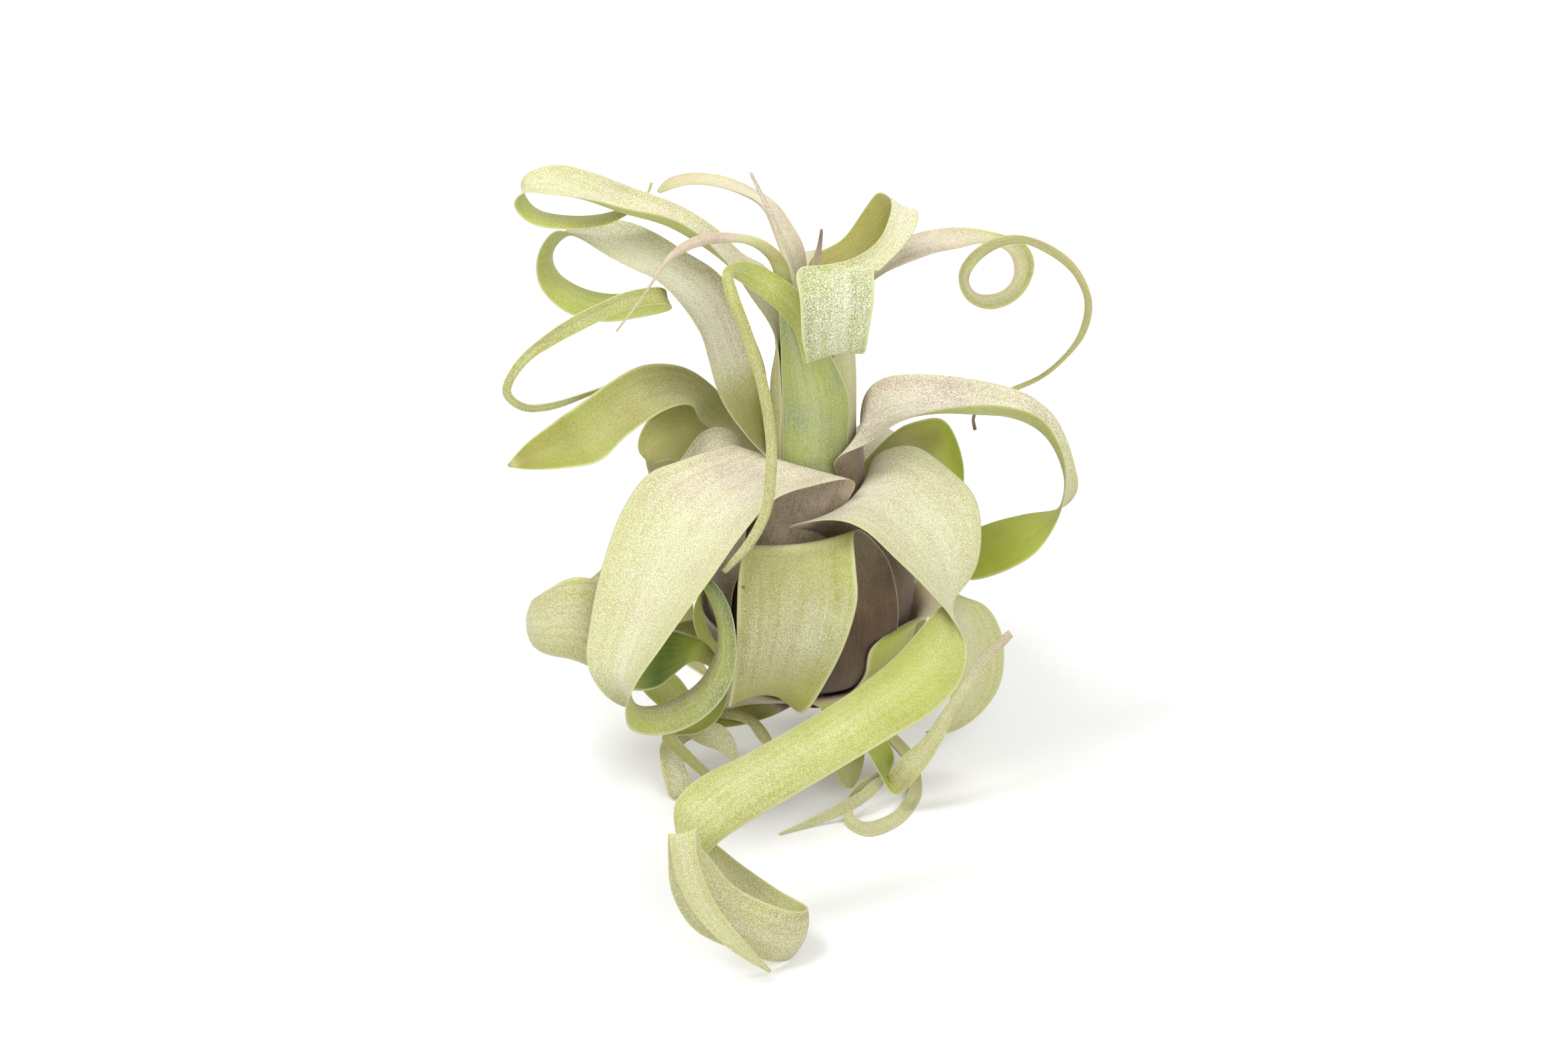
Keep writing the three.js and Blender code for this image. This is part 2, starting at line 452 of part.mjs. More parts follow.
// ---- leaves on the far side: each rises, arches outwards and rolls down, in its own upright plane ---
// start is [radius, z] of the blade's foot, heading its first slope, turn its whole bend in degrees, and
// drift how far round the axis it swings on the way.
const farLeaves = [
  {
    name: 'leaf_back_broad', colour: pale, bulb: { layer: 4, azimuth: 80, to: 50 },
    arch: {
      azimuth: 96, start: [22, 93], heading: 34, turn: -262,
      length: 134, width: 28, drift: -12, hug: 1.1,
    },
  },
  {
    name: 'leaf_back_left', colour: pale, bulb: { layer: 3, azimuth: 120, to: 30 },
    arch: {
      azimuth: 138, start: [30, 84], heading: 36, turn: -275,
      length: 104, width: 24, drift: -18, hug: 1.1,
    },
  },
  {
    name: 'leaf_back_crown', colour: pale, crown: { layer: 5, azimuth: 100, to: 102 },
    arch: {
      azimuth: 96, start: [16, 110], heading: 62, turn: -300,
      length: 136, width: 17, drift: -6, hug: 1.2,
    },
  },
  {
    name: 'leaf_back_mid', colour: pale, bulb: { layer: 7, azimuth: 60, to: 50 },
    arch: {
      azimuth: 54, start: [19, 91], heading: 30, turn: -265,
      length: 106, width: 18, drift: 6, hug: 1.1,
    },
  },
  {
    name: 'leaf_back_thin', colour: mauve, crown: { layer: 2, azimuth: 100, to: 130 },
    arch: {
      azimuth: 98, start: [12, 139], heading: 44, turn: -215,
      length: 100, width: 8, drift: -10, hug: 1.2,
    },
  },
  {
    name: 'leaf_low_back_right', colour: olive, bulb: { layer: 0, azimuth: 60, to: -30 },
    arch: {
      azimuth: 70, start: [35, 45], heading: 18, turn: -190,
      length: 108, width: 22, drift: -4, hug: 1,
    },
  },
  {
    name: 'leaf_low_back_left', colour: olive, bulb: { layer: 1, azimuth: 100, to: -10 },
    arch: {
      azimuth: 116, start: [38, 60], heading: 14, turn: -190,
      length: 118, width: 22, drift: 8, hug: 1,
    },
  },
];

function archRings({ azimuth, start, heading, turn, length, width, drift, hug }) {
  const rad = THREE.MathUtils.degToRad;
  const step = length / (arch.stations - 1);
  const rings = [];
  let [radius, z] = start;
  for (let i = 0; i < arch.stations; i += 1) {
    const share = i / (arch.stations - 1);
    const slope = rad(heading + turn * share ** hug);
    const around = rad(azimuth + drift * share);
    const swell = arch.ends + arch.swell * Math.sin(Math.PI * Math.min(1, share * 2));
    const half = width * Math.max(arch.tip, (1 - share ** 3) * swell) / 2;
    const side = new THREE.Vector3(-Math.sin(around), Math.cos(around), 0);
    const out = new THREE.Vector3(Math.cos(around), Math.sin(around), 0);
    const face = out.multiplyScalar(-Math.sin(slope)).add(new THREE.Vector3(0, 0, Math.cos(slope)));
    rings.push(Array.from({ length: blade.columns }, (_, column) => {
      const across = column / (blade.columns - 1) * 2 - 1;
      return aboveFloor(onAxis(radius, around, z)
        .addScaledVector(side, across * half)
        .addScaledVector(face, -(1 - across * across) * half * arch.cup));
    }));
    radius += step * Math.cos(slope);
    z += step * Math.sin(slope);
  }
  return rings;
}

function leafRings(leaf) {
  const sheath = leaf.bulb ? bulbRings(leaf.bulb) : crownRings(leaf.crown);
  const last = sheath[sheath.length - 1];
  const rest = leaf.arch ? archRings(leaf.arch) : bladeRings(leaf, last);
  return smoothRings([...sheath, ...rest], sheath.length - 1);
}

// ---- assembly: each solid is cut clear of those before it -------------------------------------------
const stemPoints = stemProfile.map(([radius, z]) => new THREE.Vector2(radius, z));
const stemLathe = new THREE.LatheGeometry(stemPoints, stemSegments, Math.PI / stemSegments);
const stemSolid = solidFromGeometry(stemLathe.rotateX(Math.PI / 2));

const built = [{ name: 'stem', colour: 0x5c4a3d, solid: stemSolid, guard: stemSolid }];
for (const leaf of [...leaves, ...farLeaves]) {
  const rings = leafRings(leaf);
  let solid = sheetSolid(rings, leafThickness / 2, 0);
  for (const other of built) {
    if (solid.intersect(other.solid).volume() > 0) solid = solid.subtract(other.guard);
  }
  const guard = sheetSolid(rings, leafThickness / 2 + clearance, clearance);
  built.push({ name: leaf.name, colour: leaf.colour, solid: largestPiece(solid), guard });
}

const plant = new THREE.Group();
for (const { name, colour, solid } of built) {
  const { vertProperties, triVerts } = solid.getMesh();
  const geometry = new THREE.BufferGeometry();
  geometry.setAttribute('position', new THREE.BufferAttribute(vertProperties, 3));
  geometry.setIndex(new THREE.BufferAttribute(triVerts, 1));
  const material = new THREE.MeshStandardMaterial({ color: colour, roughness: 0.75, metalness: 0 });
  const mesh = new THREE.Mesh(geometry, material);
  mesh.name = name;
  plant.add(mesh);
}

// the origin is on the floor, under the middle of the plant's box
const middle = new THREE.Box3().setFromObject(plant).getCenter(new THREE.Vector3());
plant.position.set(-middle.x, -middle.y, 0);

export default plant;
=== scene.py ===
import math

import bmesh
import bpy
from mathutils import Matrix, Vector, noise


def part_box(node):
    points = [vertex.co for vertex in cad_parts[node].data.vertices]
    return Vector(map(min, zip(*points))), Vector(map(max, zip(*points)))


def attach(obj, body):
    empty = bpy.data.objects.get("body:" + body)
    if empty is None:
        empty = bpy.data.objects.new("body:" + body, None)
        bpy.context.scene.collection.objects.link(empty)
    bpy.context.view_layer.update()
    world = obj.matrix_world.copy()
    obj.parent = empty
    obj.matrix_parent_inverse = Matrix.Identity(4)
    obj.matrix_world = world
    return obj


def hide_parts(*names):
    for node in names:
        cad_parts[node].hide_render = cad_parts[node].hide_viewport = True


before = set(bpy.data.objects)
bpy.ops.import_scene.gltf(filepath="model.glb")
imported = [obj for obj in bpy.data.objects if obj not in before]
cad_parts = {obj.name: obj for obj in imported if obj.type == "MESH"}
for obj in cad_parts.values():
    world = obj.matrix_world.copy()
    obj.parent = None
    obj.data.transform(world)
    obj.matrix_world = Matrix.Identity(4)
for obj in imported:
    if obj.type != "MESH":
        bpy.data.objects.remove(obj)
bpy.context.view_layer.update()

# ---- stem: the short hard caudex that every leaf grows from, hidden in the bulb, with the dry root stub
# that shows under it. It is woody, dark and rough, and was spun here from its profile, then roughened.
MM = 0.001
stem_low, stem_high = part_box("stem")
AXIS = (stem_low + stem_high) / 2
AXIS.z = 0.0
STEM_PROFILE = [(0.0, 20.2), (2.0, 20.6), (3.4, 22.4), (4.4, 24.6), (10.8, 26.0), (9.2, 31.0), (8.0, 37.0),
                (9.0, 45.0), (0.0, 45.2)]
STEM_SPIN_STEPS = 40
BARK_RELIEF, BARK_GRAIN, BARK_GRAIN_SQUASH = 0.35, 900.0, 0.35
BARK_DARK, BARK_LIGHT = (0.32, (38, 26, 20)), (0.72, (128, 92, 64))


def srgb(red, green, blue):
    """A colour as a paint card gives it, 0 to 255, turned into the shader's linear values."""
    return [((part / 255 + 0.055) / 1.055) ** 2.4 for part in (red, green, blue)] + [1.0]


def add_node(material, kind, inputs, **settings):
    """Adds a shader node. An input is a value or the socket that feeds it."""
    node = material.node_tree.nodes.new(kind)
    for name, value in settings.items():
        setattr(node, name, value)
    for name, value in inputs.items():
        if isinstance(value, bpy.types.NodeSocket):
            material.node_tree.links.new(value, node.inputs[name])
        else:
            node.inputs[name].default_value = value
    return node


def combine(material, operation, first, second, clamp=False):
    """One step of arithmetic between two numbers or sockets."""
    return add_node(material, "ShaderNodeMath", {0: first, 1: second},
                    operation=operation, use_clamp=clamp).outputs[0]


def weighted_sum(material, value, weight, base):
    """Value times weight, plus base: each a number or a socket."""
    return add_node(material, "ShaderNodeMath", {0: value, 1: weight, 2: base},
                    operation="MULTIPLY_ADD").outputs[0]


def blend_colour(material, share, first, second, mode="MIX"):
    """Second over first, by share."""
    return add_node(material, "ShaderNodeMix", {0: share, 6: first, 7: second},
                    data_type="RGBA", blend_type=mode).outputs[2]


def window(material, value, low, high):
    """Turns low to high into 0 to 1, smoothly."""
    node = add_node(material, "ShaderNodeMapRange", {"Value": value, "From Min": low, "From Max": high},
                    interpolation_type="SMOOTHSTEP")
    return node.outputs["Result"]


def blank_material(name):
    material = bpy.data.materials.new(name)
    material.use_nodes = True
    material.node_tree.nodes.clear()
    return material


def cloud(material, vector, scale, detail=2.0, rough=0.5):
    """Soft random patches, so many to the metre of the vector."""
    inputs = {"Vector": vector, "Scale": scale, "Detail": detail, "Roughness": rough}
    return add_node(material, "ShaderNodeTexNoise", inputs).outputs["Fac"]


def piece_from(name, mesh_builder, materials):
    """Makes the object of a finished mesh, smooth shaded, riding on the plant's one body."""
    mesh = bpy.data.meshes.new(name)
    mesh_builder.to_mesh(mesh)
    mesh_builder.free()
    mesh.shade_smooth()
    for material in materials:
        mesh.materials.append(material)
    piece = bpy.data.objects.new(name, mesh)
    bpy.context.scene.collection.objects.link(piece)
    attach(piece, "root")
    return piece


bark = blank_material("dry_root")
bark_place = add_node(bark, "ShaderNodeTexCoord", {}).outputs["Object"]
bark_grain = cloud(bark, bark_place, BARK_GRAIN, 5.0, 0.65)
bark_ramp = add_node(bark, "ShaderNodeValToRGB", {"Fac": bark_grain})
for stop, (position, colour) in zip(bark_ramp.color_ramp.elements, (BARK_DARK, BARK_LIGHT)):
    stop.position = position
    stop.color = srgb(*colour)
bark_bump = add_node(bark, "ShaderNodeBump", {"Height": bark_grain, "Strength": 0.7, "Distance": 0.0006})
bark_skin = add_node(bark, "ShaderNodeBsdfPrincipled", {
    "Base Color": bark_ramp.outputs["Color"], "Roughness": 0.9, "Normal": bark_bump.outputs["Normal"]})
add_node(bark, "ShaderNodeOutputMaterial", {"Surface": bark_skin.outputs["BSDF"]})

stem_mesh = bmesh.new()
profile = [stem_mesh.verts.new((radius * MM, 0, height * MM)) for radius, height in STEM_PROFILE]
edges = [stem_mesh.edges.new(pair) for pair in zip(profile, profile[1:])]
bmesh.ops.spin(stem_mesh, geom=profile + edges, axis=(0, 0, 1), cent=(0, 0, 0), angle=math.tau,
               steps=STEM_SPIN_STEPS, use_merge=True)
bmesh.ops.remove_doubles(stem_mesh, verts=stem_mesh.verts, dist=1e-6)
bmesh.ops.subdivide_edges(stem_mesh, edges=stem_mesh.edges, cuts=1, use_grid_fill=True)
bmesh.ops.recalc_face_normals(stem_mesh, faces=stem_mesh.faces)
for vertex in stem_mesh.verts:
    grain = noise.noise(Vector((vertex.co.x, vertex.co.y, vertex.co.z * BARK_GRAIN_SQUASH)) * BARK_GRAIN)
    vertex.co += vertex.normal * grain * BARK_RELIEF * MM
bmesh.ops.translate(stem_mesh, vec=AXIS, verts=stem_mesh.verts)
stem = piece_from("caudex_and_root", stem_mesh, [bark])
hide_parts("stem")

# ---- heart of the crown: the youngest leaves, one rolled inside another into a tube above the bulb. Each
# is one soft leaf: a thin sheath wrapped round those inside it, then a channelled blade that curls away.
# A blade is read from the front view as two edge lines, as in the plant's solids.
LEAF_THICKNESS = 0.8
LAYER_PITCH = 1.25
BULB_RADIUS, BULB_HALF_HEIGHT, BULB_CENTRE = 35.0, 37.0, 63.0
BULB_FOOT_LATITUDE, BULB_LATITUDE_STEP = -70, 20
CROWN_RADIUS, CROWN_FOOT_RADIUS = 8.0, 3.2
CROWN_FOOT, CROWN_NECK, CROWN_RING_STEP = 46.0, 95.0, 14.0
SHEATH_SPREAD = 40
VIEW_TILT = math.radians(28)
VIEW_DISTANCE, VIEW_RIGHT, VIEW_UP, VIEW_HEIGHT = 1100.0, -9.3, 73.2, 83.1
COLUMNS, LEAST_ROWS, ROW_STEP = 14, 12, 2.0
FINE_STEPS = 10
SHARES = [column / COLUMNS for column in range(COLUMNS + 1)]


def on_axis(radius, azimuth, z):
    return Vector((radius * math.cos(azimuth), radius * math.sin(azimuth), z))


def above_floor(point):
    return Vector((point.x, point.y, max(point.z, LEAF_THICKNESS / 2)))


def front_point(right, up, depth):
    """The point that the front view shows right of the axis and up, at a depth; never under the floor."""
    sin, cos = math.sin(VIEW_TILT), math.cos(VIEW_TILT)
    rise = up - VIEW_UP
    at_depth = (sin / cos * rise - depth / cos) / (1 + sin / cos * rise / VIEW_DISTANCE)
    on_floor = (LEAF_THICKNESS / 2 - VIEW_HEIGHT - rise * cos) / (sin - rise * cos / VIEW_DISTANCE)
    near = max(at_depth, on_floor)
    shrink = 1 - near / VIEW_DISTANCE
    return Vector((VIEW_RIGHT + (right - VIEW_RIGHT) * shrink,
                   rise * shrink * sin - near * cos,
                   VIEW_HEIGHT + rise * shrink * cos + near * sin))


def sheath_ring(radius, azimuth, z, spread=SHEATH_SPREAD):
    """An arc round the axis, to both sides of its azimuth by its spread in degrees."""
    return [on_axis(radius, math.radians(azimuth + (2 * share - 1) * spread), z) for share in SHARES]


def bulb_sheath(layer, azimuth, to):
    """Rings of a sheath on the bulb: layer 0 is the outside one, and it ends at a latitude in degrees."""
    rings = []
    for latitude in range(BULB_FOOT_LATITUDE, to + 1, BULB_LATITUDE_STEP):
        angle = math.radians(latitude)
        radius = (BULB_RADIUS - layer * LAYER_PITCH) * math.cos(angle)
        z = BULB_CENTRE + (BULB_HALF_HEIGHT - layer * LAYER_PITCH) * math.sin(angle)
        rings.append(sheath_ring(radius, azimuth, z))
    return rings


def crown_sheath(layer, azimuth, to, spread=SHEATH_SPREAD):
    """Rings of a sheath in the crown's tube: layer 0 is the heart, and it ends at a height."""
    rings = []
    z = CROWN_FOOT
    while z <= to:
        share = min(1.0, (z - CROWN_FOOT) / (CROWN_NECK - CROWN_FOOT))
        heart = CROWN_FOOT_RADIUS + (CROWN_RADIUS - CROWN_FOOT_RADIUS) * math.sin(share * math.pi / 2)
        rings.append(sheath_ring(heart + layer * LAYER_PITCH, azimuth, z, spread))
        z += CROWN_RING_STEP
    return rings


def edge_rings(blade, cup, last_ring):
    """A channelled section between the two edges of each station, whose seventh value is its own cup."""
    edges = [(front_point(*station[:3]), front_point(*station[3:6])) for station in blade]
    middles = [(a + b) / 2 for a, b in edges]
    rings = []
    for i, (a, b) in enumerate(edges):
        back = middles[i - 1] if i > 0 else last_ring[COLUMNS // 2]
        ahead = middles[min(i + 1, len(middles) - 1)]
        up = (ahead - back).cross(b - a).normalized()
        drop = (b - a).length * (blade[i][6] if len(blade[i]) > 6 else cup)
        rings.append([a.lerp(b, share) - up * drop * 4 * share * (1 - share) for share in SHARES])
    return rings


ARCH_STATIONS, ARCH_CUP, ARCH_TIP, ARCH_ENDS, ARCH_SWELL = 13, 0.24, 0.05, 0.86, 0.28


def arch_rings(azimuth, start, heading, turn, length, width, drift, hug):
    """Sections of a leaf that rises, arches outwards and rolls down in its own upright plane. Its width
    swells from both ends towards its quarter, and narrows to its tip."""
    step = length / (ARCH_STATIONS - 1)
    radius, z = start
    rings = []
    for i in range(ARCH_STATIONS):
        share = i / (ARCH_STATIONS - 1)
        slope = math.radians(heading + turn * share ** hug)
        around = math.radians(azimuth + drift * share)
        swell = ARCH_ENDS + ARCH_SWELL * math.sin(math.pi * min(1, share * 2))
        half = width * max(ARCH_TIP, (1 - share ** 3) * swell) / 2
        side = on_axis(1, around + math.pi / 2, 0)
        face = on_axis(-math.sin(slope), around, math.cos(slope))
        rings.append([
            above_floor(on_axis(radius, around, z) + side * (2 * across - 1) * half
                        - face * 4 * across * (1 - across) * half * ARCH_CUP)
            for across in SHARES])
        radius += step * math.cos(slope)
        z += step * math.sin(slope)
    return rings


def along_curve(points, place):
    """A smooth curve through the points: place 1.5 is half way between the second and the third."""
    last = len(points) - 1
    i = min(int(place), last - 1)
    share = place - i
    p1, p2 = points[i], points[i + 1]
    p0 = points[i - 1] if i > 0 else 2 * p1 - p2
    p3 = points[i + 2] if i + 2 <= last else 2 * p2 - p1
    d1 = math.sqrt((p2 - p1).length) or 1.0
    d0 = math.sqrt((p1 - p0).length) or d1
    d2 = math.sqrt((p3 - p2).length) or d1
    start = ((p1 - p0) / d0 - (p2 - p0) / (d0 + d1) + (p2 - p1) / d1) * d1
    end = ((p2 - p1) / d1 - (p3 - p1) / (d1 + d2) + (p3 - p2) / d2) * d1
    return (p1 + start * share + (3 * (p2 - p1) - 2 * start - end) * share ** 2
            + (2 * (p1 - p2) + start + end) * share ** 3)


def even_places(line):
    """Places a row apart along the smooth curve through a line's points, and the curve's length."""
    fine = [i / FINE_STEPS for i in range(FINE_STEPS * (len(line) - 1) + 1)]
    reach = [0.0]
    for a, b in zip(fine, fine[1:]):
        reach.append(reach[-1] + (along_curve(line, b) - along_curve(line, a)).length)
    rows = max(LEAST_ROWS, round(reach[-1] / ROW_STEP))
    places = []
    mark = 0
    for row in range(rows + 1):
        distance = reach[-1] * row / rows
        while mark < len(fine) - 2 and reach[mark + 1] < distance:
            mark += 1
        part = (distance - reach[mark]) / max(reach[mark + 1] - reach[mark], 1e-9)
        places.append(min(fine[mark] + part * (fine[mark + 1] - fine[mark]), len(line) - 1.0))
    return places, reach[-1]


def value_along(stops, share):
    """Reads (place, value, value, ...) stops as one scale."""
    for (a, *first), (b, *second) in zip(stops, stops[1:]):
        if share <= b:
            part = (share - a) / (b - a)
            return [x + (y - x) * part for x, y in zip(first, second)]
    return stops[-1][1:]


def tone_at(stops, station, share):
    """Tone and silver at a place on a leaf; a stop's fourth value is the tone along the second edge."""
    tone, silver, *across = value_along(stops, station)
    return (tone + (across[0] - tone) * share if across else tone), silver


# The skin's whole range of colour, from a dead sheath to a fresh blade, in one scale from 0 to 1; its deep
# green end is partly the leaf's own green, partly painted shade on curls turned inward.
SKIN_TONES = [
    (0.00, srgb(30, 21, 12)), (0.12, srgb(96, 66, 36)), (0.22, srgb(118, 98, 66)),
    (0.34, srgb(192, 166, 142)), (0.46, srgb(190, 190, 108)), (0.60, srgb(158, 152, 58)),
    (0.80, srgb(174, 184, 52)), (1.00, srgb(78, 106, 32)),
]
# the silver of the scales, also the colour of the painted highlights and painted light on the leaves
SILVER_SCALES_AND_HIGHLIGHT = srgb(246, 243, 226)
PALE_MARGIN = srgb(212, 212, 160)
BROWN_SPECK = srgb(92, 62, 42)
LIGHT_THROUGH = srgb(230, 232, 130)
# the patterns' stretch over the leaf's own map, and their grain to the metre
VEIN_STRETCH, STREAK_STRETCH = (13.0, 0.3, 1.0), (3.4, 0.14, 1.0)
BLOTCH_GRAIN, SCALE_GRAIN, TUFT_GRAIN, SPECK_GRAIN = 75.0, 2900.0, 1900.0, 70.0
# how far veins and blotches shift the tone, and what makes the scales thick or thin; the last weight thins
# them towards both edges, a painted highlight along each leaf's middle
VEIN_SHIFT, BLOTCH_SHIFT = 0.13, 0.24
USUAL_COVER, TUFT_COVER, STREAK_COVER, BLOTCH_COVER, PAINTED_MIDDLE_HIGHLIGHT = 0.66, 0.3, 0.7, 0.5, -0.5


def leaf_skin(name, tone_map, thinness, glitter):
    """Leaf skin: a ramp of tones, long veins, blotches, silvery scales with a painted highlight along the
    middle, a pale margin and brown specks.
    """
    skin = blank_material(name)
    place = add_node(skin, "ShaderNodeTexCoord", {}).outputs["Object"]
    leaf_map, fibre_map, tones = [add_node(skin, "ShaderNodeUVMap", {}, uv_map=uv_map).outputs["UV"]
                                  for uv_map in ("leaf", "fibres", tone_map)]
    share = add_node(skin, "ShaderNodeSeparateXYZ", {"Vector": leaf_map}).outputs["X"]
    tone_parts = add_node(skin, "ShaderNodeSeparateXYZ", {"Vector": tones})
    hue, silver = tone_parts.outputs["X"], tone_parts.outputs["Y"]
    along_veins, along_streaks = [
        add_node(skin, "ShaderNodeMapping", {"Vector": fibre_map, "Scale": stretch}).outputs["Vector"]
        for stretch in (VEIN_STRETCH, STREAK_STRETCH)]
    veins = cloud(skin, along_veins, 1.0, 4.0, 0.6)
    streaks = cloud(skin, along_streaks, 1.0, 3.0)
    blotches = cloud(skin, place, BLOTCH_GRAIN, 4.0, 0.6)
    scales = cloud(skin, place, SCALE_GRAIN, 2.0, 0.75)
    tufts = cloud(skin, place, TUFT_GRAIN, 2.0, 0.6)

    place_on_ramp = hue
    for pattern, weight in ((veins, VEIN_SHIFT), (blotches, BLOTCH_SHIFT)):
        place_on_ramp = weighted_sum(skin, combine(skin, "SUBTRACT", pattern, 0.5), weight, place_on_ramp)
    ramp = add_node(skin, "ShaderNodeValToRGB", {"Fac": place_on_ramp})
    stops = ramp.color_ramp.elements
    while len(stops) < len(SKIN_TONES):
        stops.new(0.5)
    for stop, (position, colour) in zip(stops, SKIN_TONES):
        stop.position = position
        stop.color = colour

    dust = combine(skin, "SUBTRACT", window(skin, scales, 0.4, 0.62), 0.5)
    dust = weighted_sum(skin, window(skin, tufts, 0.5, 0.66), TUFT_COVER, dust)
    scale_and_highlight_share = weighted_sum(skin, dust, glitter, USUAL_COVER)
    for pattern, weight in ((streaks, STREAK_COVER), (blotches, BLOTCH_COVER)):
        scale_and_highlight_share = weighted_sum(skin, combine(skin, "SUBTRACT", pattern, 0.5), weight, scale_and_highlight_share)
    # the scales thin towards both edges, so the middle is lighter: a painted highlight along each leaf
    from_middle = combine(skin, "ABSOLUTE", combine(skin, "SUBTRACT", share, 0.5), 0.0)
    scale_and_highlight_share = weighted_sum(skin, from_middle, PAINTED_MIDDLE_HIGHLIGHT, scale_and_highlight_share)
    silver_and_highlight_share = combine(skin, "MULTIPLY", silver, scale_and_highlight_share, clamp=True)
    colour = blend_colour(skin, silver_and_highlight_share, ramp.outputs["Color"], SILVER_SCALES_AND_HIGHLIGHT)
    margin = combine(skin, "MULTIPLY", window(skin, from_middle, 0.44, 0.5), window(skin, hue, 0.1, 0.8))
    colour = blend_colour(skin, margin, colour, PALE_MARGIN)
    cells = add_node(skin, "ShaderNodeTexVoronoi", {"Vector": place, "Scale": SPECK_GRAIN})
    chosen = add_node(skin, "ShaderNodeSeparateColor", {"Color": cells.outputs["Color"]}).outputs["Red"]
    speck = combine(skin, "MULTIPLY", window(skin, cells.outputs["Distance"], 0.07, 0.03),
                    window(skin, chosen, 0.88, 0.9))
    colour = blend_colour(skin, combine(skin, "MULTIPLY", speck, 0.8), colour, BROWN_SPECK)

    relief = add_node(skin, "ShaderNodeBump", {
        "Height": weighted_sum(skin, veins, 0.8, scales), "Strength": 0.45, "Distance": 0.0003})
    flesh = add_node(skin, "ShaderNodeBsdfPrincipled", {
        "Base Color": colour, "Roughness": 0.62, "Specular IOR Level": 0.32, "Sheen Weight": 0.2,
        "Sheen Roughness": 0.5, "Normal": relief.outputs["Normal"]})
    glow = add_node(skin, "ShaderNodeBsdfTranslucent", {
        "Color": blend_colour(skin, 0.55, colour, LIGHT_THROUGH, "MULTIPLY")})
    both = add_node(skin, "ShaderNodeMixShader", {
        0: thinness, 1: flesh.outputs["BSDF"], 2: glow.outputs["BSDF"]})
    add_node(skin, "ShaderNodeOutputMaterial", {"Surface": both.outputs["Shader"]})
    return skin


# a slot's two faces: how much light comes through, and how strongly the scales glitter
SKINS = {slot: (leaf_skin(slot + "_upper", "tone_upper", thinness, glitter),
                leaf_skin(slot + "_under", "tone_under", thinness, glitter))
         for slot, thinness, glitter in (("leaf_pale", 0.2, 0.9), ("leaf_olive", 0.22, 0.8),
                                         ("leaf_green", 0.26, 0.5), ("leaf_mauve", 0.16, 0.6))}
MARGIN_THINNESS = 0.3
WAVE_HEIGHT, WAVE_LENGTH = 0.5, 16.0
FIBRE_UNIT = 10.0


def grow_leaf(name, slot, sheath, upper, under, blade=(), arch=None, cup=0.12):
    """Makes one leaf, a grid bent over its rings and given its thickness. Upper and under are its faces'
    (station, tone, silver) stops: station -1 is the sheath's foot, 0 the blade's first station."""
    rings = sheath + (arch_rings(**arch) if arch else edge_rings(blade, cup, sheath[-1]))
    columns = list(zip(*rings))
    places, length = even_places(columns[COLUMNS // 2])
    rows = len(places) - 1
    width = max((ring[-1] - ring[0]).length for ring in rings)

    leaf = bmesh.new()
    bmesh.ops.create_grid(leaf, x_segments=COLUMNS, y_segments=rows, size=1)
    maps = {key: leaf.loops.layers.uv.new(key) for key in ("leaf", "fibres", "tone_upper", "tone_under")}
    flesh = leaf.verts.layers.deform.verify()
    spots = {}
    for vertex in leaf.verts:
        column = round((1 - vertex.co.x) / 2 * COLUMNS)
        row = round((1 + vertex.co.y) / 2 * rows)
        spots[vertex] = column, row
        vertex.co = above_floor(along_curve(columns[column], places[row]))
        vertex[flesh][0] = 1 - (2 * column / COLUMNS - 1) ** 4
    leaf.normal_update()
    for vertex, (column, row) in spots.items():
        station = places[row] - len(sheath)
        side = 2 * column / COLUMNS - 1
        wave = noise.noise(Vector((row * ROW_STEP / WAVE_LENGTH, side, width)))
        vertex.co += vertex.normal * wave * WAVE_HEIGHT * abs(side) ** 3 * min(1, max(0, station))
    for face in leaf.faces:
        for loop in face.loops:
            column, row = spots[loop.vert]
            share, station = column / COLUMNS, places[row] - len(sheath)
            if station < 0:
                station /= len(sheath)
            loop[maps["leaf"]].uv = share, row / rows
            loop[maps["fibres"]].uv = share * width / FIBRE_UNIT, length * row / rows / FIBRE_UNIT
            loop[maps["tone_upper"]].uv = tone_at(upper, station, share)
            loop[maps["tone_under"]].uv = tone_at(under, station, share)
    bmesh.ops.scale(leaf, vec=(MM, MM, MM), verts=leaf.verts)
    bmesh.ops.translate(leaf, vec=AXIS, verts=leaf.verts)

    piece = piece_from("air_plant_" + name, leaf, SKINS[slot])
    piece.vertex_groups.new(name="flesh")
    wall = piece.modifiers.new("flesh", "SOLIDIFY")
    wall.thickness = LEAF_THICKNESS * MM
    wall.offset = 0.0
    wall.vertex_group = "flesh"
    wall.thickness_vertex_group = MARGIN_THINNESS
    wall.material_offset = 1
    rounding = piece.modifiers.new("rounding", "SUBSURF")
    rounding.levels = 1
    rounding.render_levels = 1
    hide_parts(name)
    return piece


grow_leaf(
    "leaf_crown_bud", "leaf_green", crown_sheath(1, 0, 130),
    upper=[(-1, .3, .2), (0, .36, .4), (2, .25, .1)],
    under=[(-1, .3, .2), (0, .36, .4), (2, .25, .1)],
    blade=[
        (-1, 150, -3, 2, 150, -1), (0.6, 156, -3, 2, 156, -2), (1.6, 161.4, -3, 2.3, 161.4, -3),
    ],
)

grow_leaf(
    "leaf_back_thin", "leaf_mauve", crown_sheath(2, 100, 130),
    upper=[(-1, .3, .2), (0, .42, .5), (12, .32, .4)],
    under=[(-1, .3, .2), (0, .5, .4), (12, .4, .3)],
    arch=dict(azimuth=98, start=(12, 139), heading=44, turn=-215, length=100, width=8, drift=-10, hug=1.2),
)

